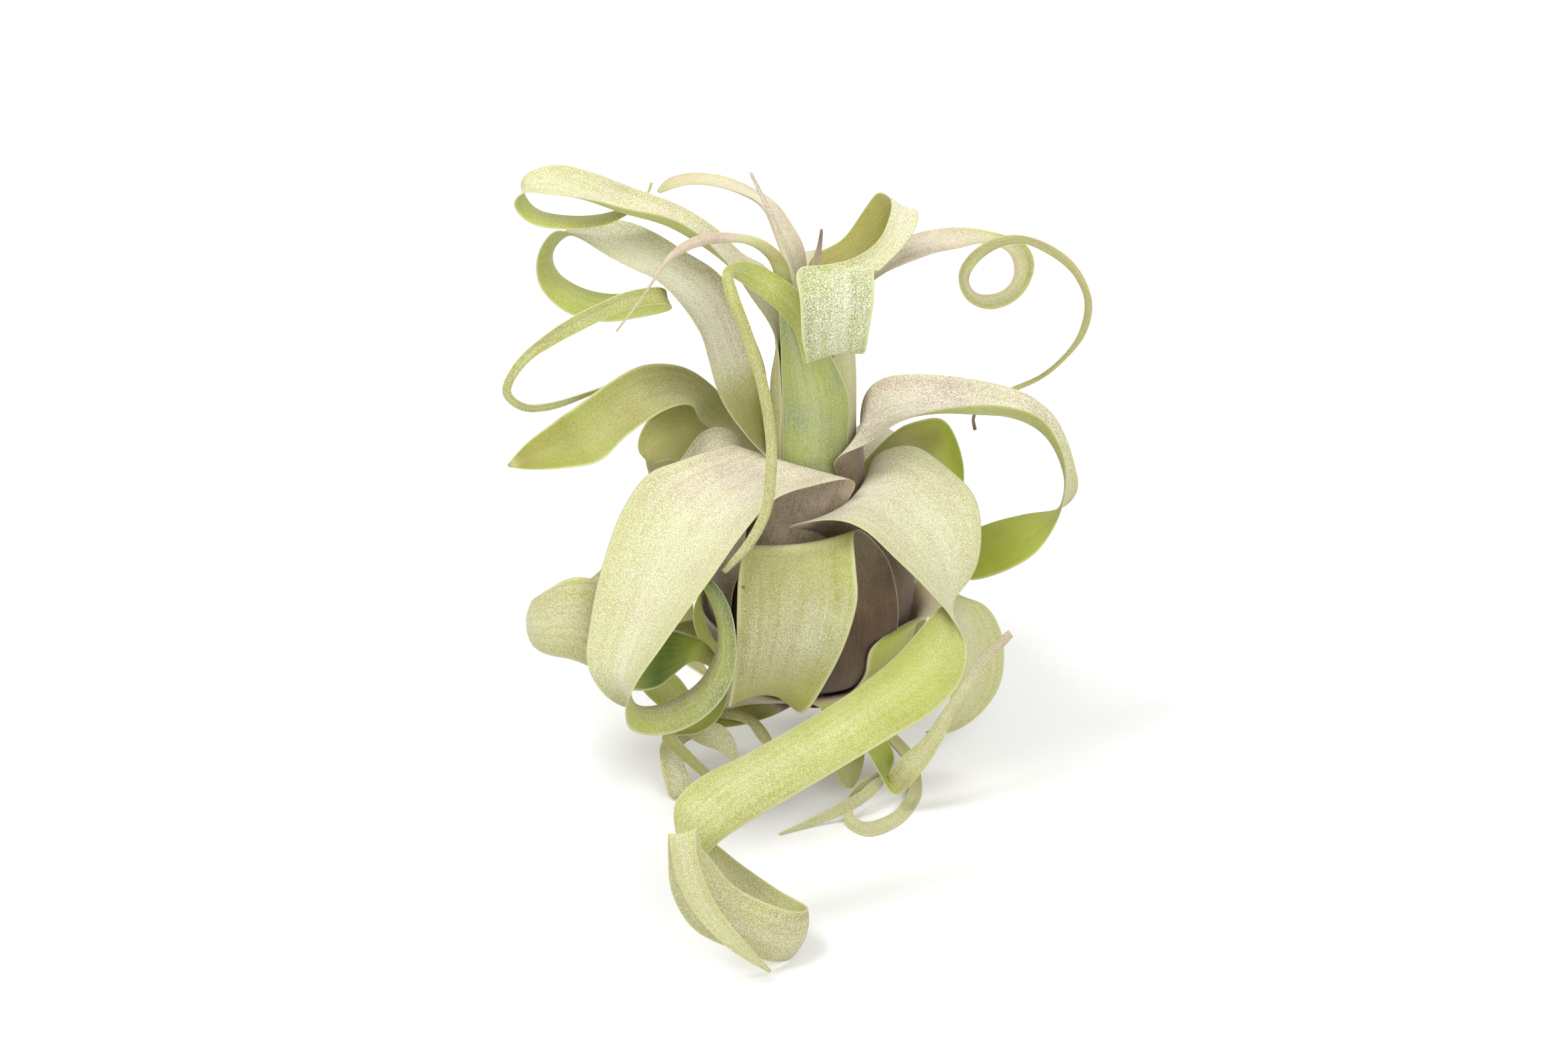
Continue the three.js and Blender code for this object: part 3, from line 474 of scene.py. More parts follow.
grow_leaf(
    "leaf_crown_flap", "leaf_pale", crown_sheath(3, 60, 130), cup=0.1,
    upper=[(-1, .4, .3), (4, .4, .9), (7, .46, .7), (8, .9, .82), (12, .9, .82), (14, .66, .4),
           (18, .62, .36), (26, .58, .5)],
    under=[(-1, .3, .2), (0, .62, .15), (3, .6, .1), (4.5, .34, .2), (8, .5, .5), (12, .74, .3),
           (16, .78, .3), (18, .7, .34), (26, .62, .45)],
    blade=[
        (-2, 151, 8, 6, 144, 2), (8.5, 158.5, 10, 14, 149, 4), (14.5, 167, 11, 22, 156, 7),
        (19, 172.4, 9, 27, 163, 6), (23, 170.4, 3, 31, 167, 1), (22, 164, -5, 30.6, 162.4, -4),
        (18.6, 157.6, -12, 27, 156.6, -10), (11.6, 152.6, -18, 22, 151.4, -16),
        (2, 150.4, -22, 19, 148.8, -22), (-5.6, 149.6, -24, 17.8, 149, -26),
        (-4.6, 140, -29, 18, 142, -30), (-4, 128, -30, 16.2, 130, -31),
        (-2.4, 120.6, -27, 14.6, 123.6, -28), (-3.6, 122, -22, 10, 127, -23),
        (-6.6, 131, -20, -1.6, 140, -19), (-12.6, 138, -21, -9.6, 146.4, -17),
        (-19.6, 143.4, -22, -17, 150.6, -18), (-23.6, 146, -25, -22.6, 151.6, -22),
        (-24.4, 146.5, -29, -28, 148.5, -29), (-22.2, 139.6, -33, -25.8, 138.4, -33),
        (-18.8, 130.4, -34, -22.4, 129.6, -34), (-14.2, 115.4, -35, -17.6, 114.6, -35),
        (-11.4, 98.2, -36, -14.8, 98, -36), (-11.6, 88, -38, -15, 88, -38),
        (-13, 76.6, -41, -16.2, 77.4, -41), (-17.8, 66.8, -44, -20.6, 68.4, -44),
        (-26.8, 57.8, -44, -28.2, 58.8, -44),
    ],
)

grow_leaf(
    "leaf_crown_arch", "leaf_mauve", crown_sheath(3, 160, 130),
    upper=[(-1, .3, .2), (0, .36, .7), (3, .35, .7), (6, .42, .5), (8, .44, .3)],
    under=[(-1, .3, .2), (0, .42, .6), (4, .4, .5), (8, .5, .3)],
    blade=[
        (-2.2, 143, 8, -7.6, 141, 0), (-3.2, 155.6, 9, -9.6, 152, 2), (-6.6, 162.4, 11, -12.6, 160, 4),
        (-11.6, 169.4, 14, -16.6, 168.6, 6), (-18.6, 173.6, 16, -22.6, 172.2, 9),
        (-28.6, 177.4, 17, -29.6, 174.2, 11), (-37.6, 178.2, 17, -37.6, 174.8, 12),
        (-44.6, 176.4, 17, -43.6, 173.2, 13), (-47.6, 172.6, 17, -46.8, 172, 16),
    ],
)

grow_leaf(
    "leaf_crown_spear", "leaf_mauve", crown_sheath(3, 250, 130),
    upper=[(-1, .3, .2), (0, .38, .8), (2, .34, .8), (4, .3, .6)],
    under=[(-1, .3, .2), (-.3, .6, .5), (0, .42, .8), (2, .34, .8), (4, .3, .6)],
    blade=[
        (-8, 145, -9, -5.2, 144.4, -9), (-11.6, 158, -8, -9.4, 157, -8), (-14.2, 166, -7, -12.6, 166, -7),
        (-17, 172, -6, -15.4, 171.4, -6), (-19.8, 178.4, -5, -19, 178.4, -5),
    ],
)

# ---- outer crown: the long leaves that wrap the tube outside and swing out to both sides in loops and
# rings. They are thin, narrow and silvery, pink-grey on top and green inside their curls.
grow_leaf(
    "leaf_crown_loop", "leaf_pale", crown_sheath(4, 180, 130),
    upper=[(-1, .3, .2), (0, .46, .8), (3, .4, .85), (6, .44, .7), (9, .48, .6), (15, .5, .4)],
    under=[(-1, .3, .2), (0, .6, .5), (4, .78, .3), (9, .8, .3), (15, .6, .4)],
    blade=[
        (-7, 137, 4, -12, 129, -9), (-14.5, 150, 2, -19.5, 141.5, -13), (-21.5, 154, 4, -25, 150, -14),
        (-29, 161, 5, -34.5, 159.4, -13, 0.2), (-40.5, 168.5, 4, -44.5, 165, -12, 0.26),
        (-54.5, 173.6, 3, -58.5, 167.8, -12, 0.26), (-67.5, 178.6, 2, -70.5, 170.6, -12, 0.2),
        (-78.5, 180.6, 1, -81.5, 172, -10), (-88.2, 176.5, 0, -88, 172, -9),
        (-87, 170.6, 2, -90.6, 168.6, -9), (-83, 166.6, 3, -85.6, 163, -9),
        (-74.6, 164.8, 4, -74.6, 161, -8), (-63.6, 165.4, 5, -63.6, 162.4, -4),
        (-55, 168.6, 6, -55, 166.4, 1), (-50, 172, 8, -50.6, 171.2, 7),
        (-48.6, 175.4, 9, -49.4, 175.2, 9),
    ],
)

grow_leaf(
    "leaf_crown_thin", "leaf_mauve", crown_sheath(4, 269, 130, 49),
    upper=[(-1, .3, .2), (0, .42, .5), (8, .34, .5)],
    under=[(-1, .25, .2), (-.6, .88, .4), (-.2, .9, .36), (0, .88, .4), (1, .6, .3), (3, .34, .4),
           (6, .36, .5), (8, .44, .5)],
    blade=[
        (-11.6, 143, -14, -6, 143, -14), (-14.2, 152.4, -16, -9, 152.4, -15),
        (-20.6, 156.8, -18, -16.6, 158.6, -17), (-28.6, 157, -20, -26.6, 160.2, -18),
        (-36.6, 155.4, -22, -35.6, 159.2, -20), (-44, 151, -24, -43, 154.8, -23),
        (-50.2, 143.6, -25, -48.6, 146.4, -25), (-55, 136.6, -26, -54, 137.6, -26),
        (-60, 130.2, -26, -59.4, 130.6, -26),
    ],
)

grow_leaf(
    "leaf_right_ringlet", "leaf_green", crown_sheath(3, -30, 130), cup=0.1,
    upper=[(-1, .3, .5, .3), (0, .36, .8, .36), (3, .34, .9, .34), (5, .4, .7, .48), (6, .36, .5, .74),
           (11, .34, .5, .74), (13, .7, .4, .5), (20, .66, .45, .5), (22, .3, .3, .3), (24, .2, .1, .2)],
    under=[(-1, .36, .5, .36), (-.3, .44, .5, .44), (0, .46, .5, .46), (4, .5, .6, .5), (6, .36, .5, .74),
           (11, .34, .5, .74), (13, .7, .4, .5), (20, .66, .45, .5), (22, .3, .3, .3), (24, .2, .1, .2)],
    blade=[
        (8.4, 138, 4, 12.4, 143, 12), (15.4, 144, 7, 18, 151, 15), (22.4, 148.8, 9, 25.4, 158, 18),
        (35.4, 154, 10, 37, 161.4, 18), (43.4, 155.4, 11, 45, 161.8, 17),
        (51.4, 157, 10, 53.4, 160.4, 13), (58.4, 154, 9, 63.4, 156.8, 10), (59.8, 148, 7, 66, 150, 8),
        (57, 143.4, 5, 61.8, 141, 6), (51.4, 141.6, 3, 53.4, 137, 4), (47.8, 142.6, 1, 45.8, 139.6, 1),
        (46.2, 146.4, -2, 43, 147.6, -2), (49, 151.2, -4, 46.6, 154, -4),
        (54.4, 155.2, -5, 53.4, 158.4, -5), (61.4, 157, -5, 61.4, 159.6, -5),
        (69.4, 154, -4, 71, 156.4, -4), (77, 148, -3, 79, 149.6, -3), (80.8, 140, -2, 83.2, 139.6, -2),
        (79.4, 131, 1, 81.4, 130, 1), (74.6, 123.6, 5, 75.8, 122.6, 5), (67.2, 117.4, 9, 68.4, 116.4, 9),
        (59.2, 113.8, 12, 60.2, 112.6, 12), (51, 109.6, 14, 51.8, 108.6, 14), (47, 105, 14, 48, 105, 14),
        (47.6, 100.6, 14, 48.6, 101, 14),
    ],
)

grow_leaf(
    "leaf_left_ring", "leaf_pale", crown_sheath(5, 200, 102),
    # silver past full cover on the blade's upper face, stations 2 to 7: its silvery scales, and painted
    # light that whitens a face turned from the lamps
    upper=[(-1, .3, .3), (-.3, .62, .15), (0, .64, .15), (1, .54, .4), (2, .37, 1.4), (4, .4, 1.7),
           (7, .48, 1.2), (10, .66, .45), (14, .74, .3), (20, .7, .45), (27, .7, .5)],
    under=[(-1, .25, .2), (-.3, .48, .5), (0, .54, .5), (8, .74, .4), (12, .8, .25), (18, .72, .4),
           (27, .7, .45)],
    blade=[
        (-14.6, 109, 3, -19.6, 98, -13), (-14.6, 118, 2, -28, 109.4, -13),
        (-18.6, 130, 2, -32, 121.4, -14), (-24, 142, 2, -34.6, 130, -16),
        (-30, 149, 3, -41.6, 140.4, -16), (-38.6, 154.4, 5, -47.6, 146, -14),
        (-47.6, 160, 7, -54.6, 149, -11), (-57.6, 164, 12, -63.6, 154, -5),
        (-66.6, 164, 14, -71.6, 159, -1), (-74.5, 161, 15, -78, 161, 0), (-79.4, 155, 14, -83.4, 154, -1),
        (-77.6, 148.6, 12, -83, 144.6, -3), (-70.6, 143.6, 10, -75.6, 136.6, -4),
        (-60.6, 141.8, 8, -64.6, 133.4, -5), (-51.6, 143.2, 3, -52.6, 134.6, -6),
        (-44.6, 142.6, -6, -43.2, 137, -10), (-47.6, 144, -14, -45, 138.8, -16),
        (-56.6, 142.6, -17, -55.6, 137.4, -18), (-64.6, 139, -19, -63.6, 134, -19),
        (-72.6, 135, -20, -71.6, 130, -20), (-80.6, 130, -21, -79, 126, -21),
        (-88.2, 123.4, -22, -85.4, 121.8, -22), (-93, 116, -22, -90.4, 115.4, -22),
        (-93.6, 111, -20, -91, 111.6, -20), (-88.4, 106.8, -17, -86.6, 108.8, -17),
        (-80.6, 106.6, -11, -79, 109.2, -11), (-70.6, 110, 0, -69, 112, 0),
        (-62, 113.6, 7, -61.4, 114.6, 7),
    ],
)

grow_leaf(
    "leaf_right_arc", "leaf_pale", crown_sheath(5, -20, 102),
    # silver past full cover, stations 3 to 6: its silvery scales, and painted light that whitens the arc's
    # shaded top
    upper=[(-1, .2, .2), (0, .36, .9), (3, .36, 1.2), (6, .4, 1.1), (9, .55, .6), (12, .78, .2),
           (14, .8, .12)],
    under=[(-1, .1, .03), (0, .24, .2), (1, .5, .4), (3, .7, .4), (6, .72, .4), (9, .76, .3),
           (11, .8, .1), (14, .8, .05)],
    blade=[
        (6, 92, -16.5, 15, 112, 3), (15.4, 96.8, -15, 20.4, 116.6, 4),
        (24.4, 103, -15, 29.4, 117.8, 5, 0.16), (35.4, 106.6, -14, 41.4, 117.2, 5, 0.24),
        (46.4, 108.4, -13, 53.4, 115.2, 5, 0.3), (57.4, 108.2, -12, 63.4, 112, 4, 0.3),
        (67, 105.4, -11, 71.4, 106, 3, 0.3), (72.4, 99, -10, 75.4, 99, 2, 0.25),
        (75.4, 90, -9, 78.2, 90, 1, 0.2), (75, 82, -9, 78.8, 83, 1), (72.5, 73, -9, 74.4, 77.6, 2),
        (66.4, 64, -9, 63, 75.8, 4), (57.4, 58.6, -8, 53.4, 73.4, 6), (47, 55.8, -5, 46, 70, 7),
        (40, 58, 2, 40, 64, 7),
    ],
)

grow_leaf(
    "leaf_back_crown", "leaf_pale", crown_sheath(5, 100, 102),
    upper=[(-1, .1, .1), (0, .36, .8), (12, .5, .8)],
    under=[(-1, .08, .02), (-.4, .14, .08), (0, .44, .6), (12, .66, .4)],
    arch=dict(azimuth=96, start=(16, 110), heading=62, turn=-300, length=136, width=17, drift=-6, hug=1.2),
)

# ---- inner bulb leaves: full-grown leaves whose brown sheaths make the bulb. They leave it at its
# shoulder, arch over the leaves outside them, and hang and curl round the plant.
grow_leaf(
    "leaf_back_mid", "leaf_pale", bulb_sheath(7, 60, 50),
    upper=[(-1, .1, .1), (0, .36, .8), (12, .5, .8)],
    under=[(-1, .08, .02), (-.4, .14, .08), (0, .44, .6), (12, .66, .4)],
    arch=dict(azimuth=54, start=(19, 91), heading=30, turn=-265, length=106, width=18, drift=6, hug=1.1),
)

grow_leaf(
    "leaf_left_curl", "leaf_olive", bulb_sheath(6, 120, 50),
    upper=[(-1, .2, .1), (0, .5, .2), (6, .56, .2)],
    under=[(-1, .2, .1), (0, .8, .15), (6, .7, .1)],
    blade=[
        (-21, 97, 23, -24, 92, 15), (-31, 104.6, 25, -31, 93, 15), (-40, 109.6, 22, -37, 92.6, 13),
        (-46.8, 107.6, 17, -41, 91.6, 10), (-52.2, 101, 13, -45, 91.8, 7),
        (-53.4, 94, 11, -47.6, 91.2, 6), (-49.6, 91.2, 9, -48.4, 91, 6),
    ],
)

grow_leaf(
    "leaf_left_olive", "leaf_olive", bulb_sheath(5, 160, 50), cup=0.2,
    upper=[(-1, .2, .1), (0, .44, .4), (2, .5, .45), (3.5, .6, .4), (6, .66, .3), (8, .7, .2),
           (9.6, .6, .1), (10, .3, .1)],
    under=[(-1, .2, .1), (0, .4, .2), (2, .5, .2), (3.5, .64, .3), (6, .7, .3), (8, .72, .25),
           (9.6, .6, .1), (10, .3, .1)],
    blade=[
        (-20, 102, 20, -24, 97, 9), (-26, 109, 20, -34, 103, 11), (-31, 114.6, 17, -36.6, 107.6, 6),
        (-38, 119.4, 13, -40, 108.4, 1), (-45, 121, 8, -45, 106.8, -4), (-52.6, 120.2, 3, -50, 103.6, -9),
        (-60.6, 116, -2, -57, 98.4, -12), (-69.6, 109.6, -6, -64.6, 91.6, -16),
        (-79.6, 102.6, -9, -74.6, 89.6, -17), (-86.6, 97, -11, -84.6, 89, -16),
        (-92.4, 90.4, -13, -92, 89.8, -13),
    ],
)

grow_leaf(
    "leaf_back_right", "leaf_green", bulb_sheath(5, 20, 50),
    upper=[(-1, .2, .1, .2), (0, .5, .3, .66), (2, .6, .1, .84), (4, .76, 0, .86), (6, .8, 0, .88)],
    under=[(-1, .2, .1, .2), (0, .5, .3, .6), (3, .76, 0, .84), (6, .8, 0, .86)],
    blade=[
        (22, 91, 4, 24.4, 101, 18), (31, 92, 2, 30.4, 103.6, 18), (36, 91, 0, 38.4, 104.6, 16),
        (38, 88, -1, 41.8, 100, 13), (39.4, 84, -2, 44.6, 90, 9), (40, 79, -2, 44, 82, 6),
        (39, 76, 0, 41, 76, 3),
    ],
)

grow_leaf(
    "leaf_front_left", "leaf_pale", bulb_sheath(4, -120, 50), cup=0.15,
    # along the ring, stations 9 to 14, the second edge turns deep green: painted shade of the curled
    # section; the tip inside the ring is the deepest green, its own green darkened as painted shade
    upper=[(-1, .1, .1, .1), (-.2, .25, .3, .25), (0, .35, .8, .35), (2, .38, .8, .38),
           (4, .46, .75, .46), (7, .48, .7, .48), (9, .62, .45, .68), (12, .66, .4, .9), (16, .9, .2, 1)],
    under=[(-1, .06, .02, .06), (-.4, .12, .06, .12), (-.1, .3, .4, .3), (0, .33, .5, .33),
           (2, .4, .4, .4), (6, .62, .4, .62), (8, .6, .5, .8), (10, .54, .5, .84), (12, .58, .42, .95),
           (14, .64, .3, 1), (16, .98, .1, 1)],
    blade=[
        (-23, 96, -4, 12.2, 85.6, -21, 0.02), (-31, 95, -8, -2, 83.8, -27, 0.06),
        (-41, 91.8, -13, -12.5, 79.8, -33, 0.1), (-50, 88, -17, -20, 71.5, -40),
        (-58, 77, -21, -30, 58, -47), (-64, 60, -27, -41, 43, -53), (-67.5, 44, -32, -49, 31.5, -57),
        (-68.5, 30, -37, -54, 24, -58), (-62, 20, -40, -57, 17.4, -56, 0.25),
        (-54, 17, -38, -55, 10.5, -52, 0.3), (-45, 18.5, -36, -44, 9.5, -49, 0.3),
        (-35, 25, -36, -32, 15.5, -47, 0.3), (-30, 33, -37, -24.6, 26, -45, 0.3),
        (-28.6, 42, -38, -23.6, 38, -44, 0.3), (-32, 50.5, -36, -25.8, 48.5, -40, 0.2),
        (-35, 55, -33, -31, 56, -36), (-42, 56, -26, -41, 59, -28),
    ],
)

grow_leaf(
    "leaf_front_right", "leaf_pale", bulb_sheath(4, -40, 50), cup=0.14,
    upper=[(-1, .1, .1), (0, .38, .85), (2, .44, .8), (5, .47, .75), (7, .5, .7), (12, .55, .5),
           (20, .5, .6), (29, .46, .5)],
    under=[(-1, .06, .02), (-.4, .12, .06), (-.1, .2, .2), (0, .3, .3), (1.5, .44, .3), (3, .5, .25),
           (6, .66, .32), (8, .78, .28), (11, .74, .5), (13, .74, .46), (15, .68, .5), (20, .56, .62),
           (27, .46, .62), (29, .4, .3)],
    blade=[
        (-8, 72, -34, 17, 92, 0), (6, 74, -39, 29, 96.5, -4), (15, 71, -44, 39, 90.5, -10),
        (25, 61.5, -48, 48, 81, -16), (34, 52.5, -52, 50, 69, -22), (41, 45, -56, 48, 59, -28),
        (45.5, 36, -61, 42, 51, -36), (44, 26, -67, 36, 46.5, -47), (36, 16.5, -74, 25, 34, -57, 0.2),
        (23, 8.5, -82, 13, 23.5, -66, 0.22), (7, -1, -88, -4, 13, -75, 0.22),
        (-9, -10.5, -94, -23, 2.5, -83, 0.2), (-21, -17.5, -99, -35, -3.5, -90),
        (-30, -24, -103, -42, -11, -97), (-35, -32, -103, -41, -19, -99), (-30, -38, -99, -33, -21, -96),
        (-20, -48, -97, -22, -29.6, -95), (-11, -57, -98, -10, -37.6, -97),
        (-8, -57.6, -105, -2.2, -42, -103), (-12.6, -58.6, -113, -7, -43.4, -111),
        (-24, -55, -116, -24, -36, -114), (-36, -49, -117, -31, -28, -115.5),
        (-43, -38, -118, -34, -24, -117), (-44.2, -27, -119, -35, -20, -118.5),
        (-44, -19, -121, -35.4, -17.6, -121), (-43.4, -25, -123.4, -35.8, -22.6, -123.2),
        (-41.6, -34, -125, -34, -31, -124.6), (-35.6, -45, -125.6, -29.4, -42, -125),
        (-25.4, -55, -125, -22, -51.4, -124.4), (-13.6, -62, -119, -13, -61.4, -119),
    ],
)

grow_leaf(
    "leaf_back_broad", "leaf_pale", bulb_sheath(4, 80, 50),
    upper=[(-1, .1, .1), (0, .36, .8), (12, .5, .8)],
    under=[(-1, .08, .02), (-.4, .14, .08), (0, .44, .6), (12, .66, .4)],
    arch=dict(azimuth=96, start=(22, 93), heading=34, turn=-262, length=134, width=28, drift=-12, hug=1.1),
)

grow_leaf(
    "leaf_back_left", "leaf_pale", bulb_sheath(3, 120, 30),
    upper=[(-1, .1, .1), (0, .36, .8), (12, .5, .8)],
    under=[(-1, .08, .02), (-.4, .14, .08), (0, .44, .6), (12, .66, .4)],
    arch=dict(azimuth=138, start=(30, 84), heading=36, turn=-275, length=104, width=24, drift=-18, hug=1.1),
)

# ---- outer bulb leaves: the older leaves that leave the bulb's side. The broad apron hangs down the front,
# and a pale one folds back on the left.
grow_leaf(
    "leaf_apron", "leaf_olive", bulb_sheath(2, -80, 30), cup=0.06,
    # the silver thins to none at the apron's lower end, stations 5 to 7: painted shade where it curls under
    upper=[(-1, .1, .1, .1), (0, .34, .3, .4), (.6, .56, .3, .7), (1.5, .6, .42, .7), (3, .58, .66, .66),
           (4, .6, .3, .66), (5, .62, .06, .66), (7, .58, 0, .6)],
    under=[(-1, .06, .02, .06), (-.4, .1, .04, .1), (0, .2, .2, .2), (2, .5, .3, .5), (7, .55, .4, .55)],
    blade=[
        (-21, 66.5, -32, 12, 71, -31), (-23, 58, -38, 12.4, 60, -38), (-23.6, 46, -41, 13, 51, -41),
        (-24, 33, -41, 10, 39, -41), (-25.6, 21, -38, 4.4, 27, -38, 0.1),
        (-26, 17.4, -35, -3.4, 15.4, -35, 0.24), (-24, 19, -29, -6, 17, -29, 0.3),
        (-21, 22, -25, -10, 20, -24, 0.2),
    ],
)

grow_leaf(
    "leaf_left_fold", "leaf_pale", bulb_sheath(2, 180, 30),
    upper=[(-1, .1, .1), (0, .36, .8), (4, .44, 1.1), (6, .48, 1.2), (10, .48, 1.2), (17, .8, .1)],
    # the deepest green at stations 13 to 15.5, where the leaf curls back in behind, is its green underside
    # darkened as painted shade
    under=[(-1, .06, .02), (-.4, .1, .04), (0, .42, .7), (9, .54, .6), (12, .54, .5), (13, .85, .1),
           (14, 1.0, .0), (15.5, .9, .1), (16.4, .6, .2), (17, .5, .3)],
    blade=[
        (-22, 97, 8, -21, 90, -2), (-28, 102, 7, -28, 93, -3), (-34, 100.4, 7, -34, 90, -3),
        (-39, 94, 7, -38.6, 84, -2), (-46, 84, 8, -45, 72, 0), (-57, 68, 9, -56, 50, 0),
        (-68, 56, 8, -66, 36, -2), (-77, 52, 4, -76, 35, -5), (-83, 50, -2, -82.5, 36, -8),
        (-84.8, 50, -9, -84.6, 36, -13), (-80.6, 53, -15, -80.4, 33.6, -19),
        (-72, 57, -18, -72, 31.6, -23), (-63, 55, -18, -64, 28, -24), (-53, 47, -19, -56, 23, -25),
        (-44.6, 42, -21, -47.6, 23.4, -27), (-37.6, 39.6, -24, -42, 27.8, -28),
        (-32.6, 37, -26, -36.4, 31.6, -29), (-28.6, 32, -27, -31, 29.6, -29),
    ],
)

# ---- lowest leaves: old leaves from the bulb's foot, olive and dull, dried brown at the sheath. They roll
# down to the table, and the plant stands on them.
grow_leaf(
    "leaf_low_right", "leaf_olive", bulb_sheath(1, -20, -10),
    upper=[(-1, .08, 0), (0, .46, .5), (3, .5, .6), (7, .5, .4)],
    under=[(-1, .04, 0), (-.75, .08, .02), (-.55, .6, .1), (-.25, .8, .1), (0, .5, .5), (2, .48, .6),
           (4, .46, .65), (7, .48, .5)],
    blade=[
        (38, 47, -6, 46, 50.5, 6), (41.5, 46, -8, 51, 48.6, 8), (42.6, 38, -12, 55.6, 41.4, 7),
        (42.4, 29, -14, 56.8, 32, 5), (41, 21, -15, 55, 23, 3), (39, 15, -13, 49.5, 15.4, 1),
        (37, 11, -9, 41.5, 10.4, 0), (33, 10, -5, 34, 9.4, -3),
    ],
)

grow_leaf(
    "leaf_low_back_left", "leaf_olive", bulb_sheath(1, 100, -10),
    upper=[(-1, .08, 0), (0, .4, .3), (3, .58, .3), (12, .6, .3)],
    under=[(-1, .06, 0), (-.4, .14, .08), (0, .5, .3), (12, .62, .3)],
    arch=dict(azimuth=116, start=(38, 60), heading=14, turn=-190, length=118, width=22, drift=8, hug=1),
)

grow_leaf(
    "leaf_low_left", "leaf_green", bulb_sheath(0, 200, -10),
    upper=[(-1, .08, 0), (0, .74, .25), (3, .8, .2), (8, .6, .4)],
    under=[(-1, .06, 0), (-.4, .1, .05), (0, .72, .35), (2, .78, .3), (4, .56, .4), (8, .5, .4)],
    blade=[
        (-37, 46, -6, -28.4, 39, -17), (-34.4, 36, -10, -28, 32, -18), (-31, 25, -17, -26, 23, -21),
        (-34, 17, -23, -29, 14, -26), (-41, 12, -27, -36, 9.6, -30), (-46.4, 9, -28, -41.6, 9.4, -30),
        (-41, 3, -28, -37.4, 4.6, -28), (-33.6, -3.4, -26, -31.4, -1.6, -26),
        (-28, -8.6, -26, -27, -8, -26),
    ],
)

grow_leaf(
    "leaf_low_front_right", "leaf_olive", bulb_sheath(0, -60, -50),
    upper=[(-1, .06, 0), (0, .6, .2), (2, .9, .05), (4, .48, .5), (7, .42, .6), (9, .36, .5)],
    under=[(-1, .04, 0), (-.3, .1, .02), (0, .5, .3), (4, .46, .5), (8, .42, .6), (9, .34, .4)],
    blade=[
        (6, 15, -22, 13, 17, -14), (14, 7, -27, 21, 9, -18), (19, -1.6, -32, 24, 2.4, -24),
        (24, -9, -33, 21.4, -3, -30), (32, -1.8, -33, 26, 3, -31), (38.4, 8, -32, 32.8, 8.6, -31),
        (41.8, 16, -31, 38.6, 17.2, -30), (47.4, 24, -30, 44.2, 25.2, -29),
        (53.4, 32, -28, 49.8, 33.6, -27), (59.6, 39, -25, 58.2, 41, -25),
    ],
)

grow_leaf(
    "leaf_low_back_right", "leaf_olive", bulb_sheath(0, 60, -30),
    upper=[(-1, .08, 0), (0, .4, .3), (3, .58, .3), (12, .6, .3)],
    under=[(-1, .06, 0), (-.4, .14, .08), (0, .5, .3), (12, .62, .3)],
    arch=dict(azimuth=70, start=(35, 45), heading=18, turn=-190, length=108, width=22, drift=-4, hug=1),
)

grow_leaf(
    "leaf_low_left_fold", "leaf_pale", bulb_sheath(-1, -140, -50),
    upper=[(-1, .06, 0), (0, .44, .6), (2, .46, .75), (4, .48, .7), (6, .5, .2)],
    under=[(-1, .06, 0), (-.3, .4, .3), (2, .48, .75), (4, .56, .4), (6, .46, .4)],
    blade=[
        (-31, 24, 0, -26, 17, -8), (-40, 14, 0, -33, 10, -9), (-46, 7.5, -11, -39.6, 6.4, -16),
        (-46.6, 2.4, -19, -38.8, -0.6, -22), (-45.2, -4.6, -22, -37, -4.6, -24),
        (-43, -10.4, -20, -39.6, -9.4, -22), (-40, -8, -15, -38, -7, -17),
    ],
)

grow_leaf(
    "leaf_low_ring", "leaf_olive", bulb_sheath(-1, 40, -70),
    upper=[(-1, .08, 0), (0, .56, .2), (3, .5, .4), (6, .44, .6), (10, .5, .4)],
    under=[(-1, .06, 0), (-.4, .1, .05), (0, .6, .1), (3, .48, .5), (6, .44, .6), (10, .6, .3)],
    blade=[
        (16, 16, -2, 14, 18, 8), (22, 8, -5, 23, 11, 5), (27.4, 1, -12, 30, 3.6, -3),
        (28.6, -4.5, -19, 32, -3.4, -13), (27, -10, -27, 31.4, -10.4, -23),
        (22.4, -14.4, -33, 24.6, -18, -33), (16.4, -16.8, -37, 15.5, -21, -38),
        (11.6, -15, -37, 9, -17.6, -38), (12, -10, -33, 9.4, -10, -34), (16, -5, -29, 14.5, -4, -30),
        (21, -2, -26, 20.6, -1.4, -26),
    ],
)

grow_leaf(
    "leaf_low_point", "leaf_olive", bulb_sheath(-1, -40, -70),
    upper=[(-1, .08, 0), (0, .5, .3), (2, .44, .6), (6, .5, .5)],
    under=[(-1, .06, 0), (-.4, .1, .05), (0, .5, .3), (2, .44, .6), (6, .5, .5)],
    blade=[
        (9, 12, -15, 14, 15, -8), (16, 4, -21, 20, 5, -15), (20, -1.6, -26, 22.6, -1, -22),
        (15.4, -6, -32, 17.4, -9, -31), (7.4, -11, -37, 9.4, -14, -36), (0.4, -15, -39, 0.4, -17.6, -39),
        (-11, -20.2, -41, -10.8, -20.6, -41),
    ],
)

grow_leaf(
    "leaf_low_arch", "leaf_olive", bulb_sheath(-2, -160, -70),
    upper=[(-1, .08, 0), (0, .5, .3), (2, .9, .1), (4, .6, .4), (8, .6, .4)],
    under=[(-1, .06, 0), (-.4, .1, .05), (0, .9, .1), (3, .62, .35), (8, .6, .4)],
    blade=[
        (-15, 20, 0, -13, 15, -6), (-24, 19, 0, -22, 12.4, -8), (-32, 17, -6, -30, 12, -12),
        (-33, 16, -13, -30.6, 14.4, -16), (-25, 17.4, -17, -25, 14, -20),
        (-18.4, 14.8, -21, -20, 12.4, -24), (-14.6, 11, -24, -17.6, 8.8, -27),
        (-12.4, 7, -26, -15, 5.8, -28), (-11, 3, -25, -12, 2.6, -26),
    ],
)

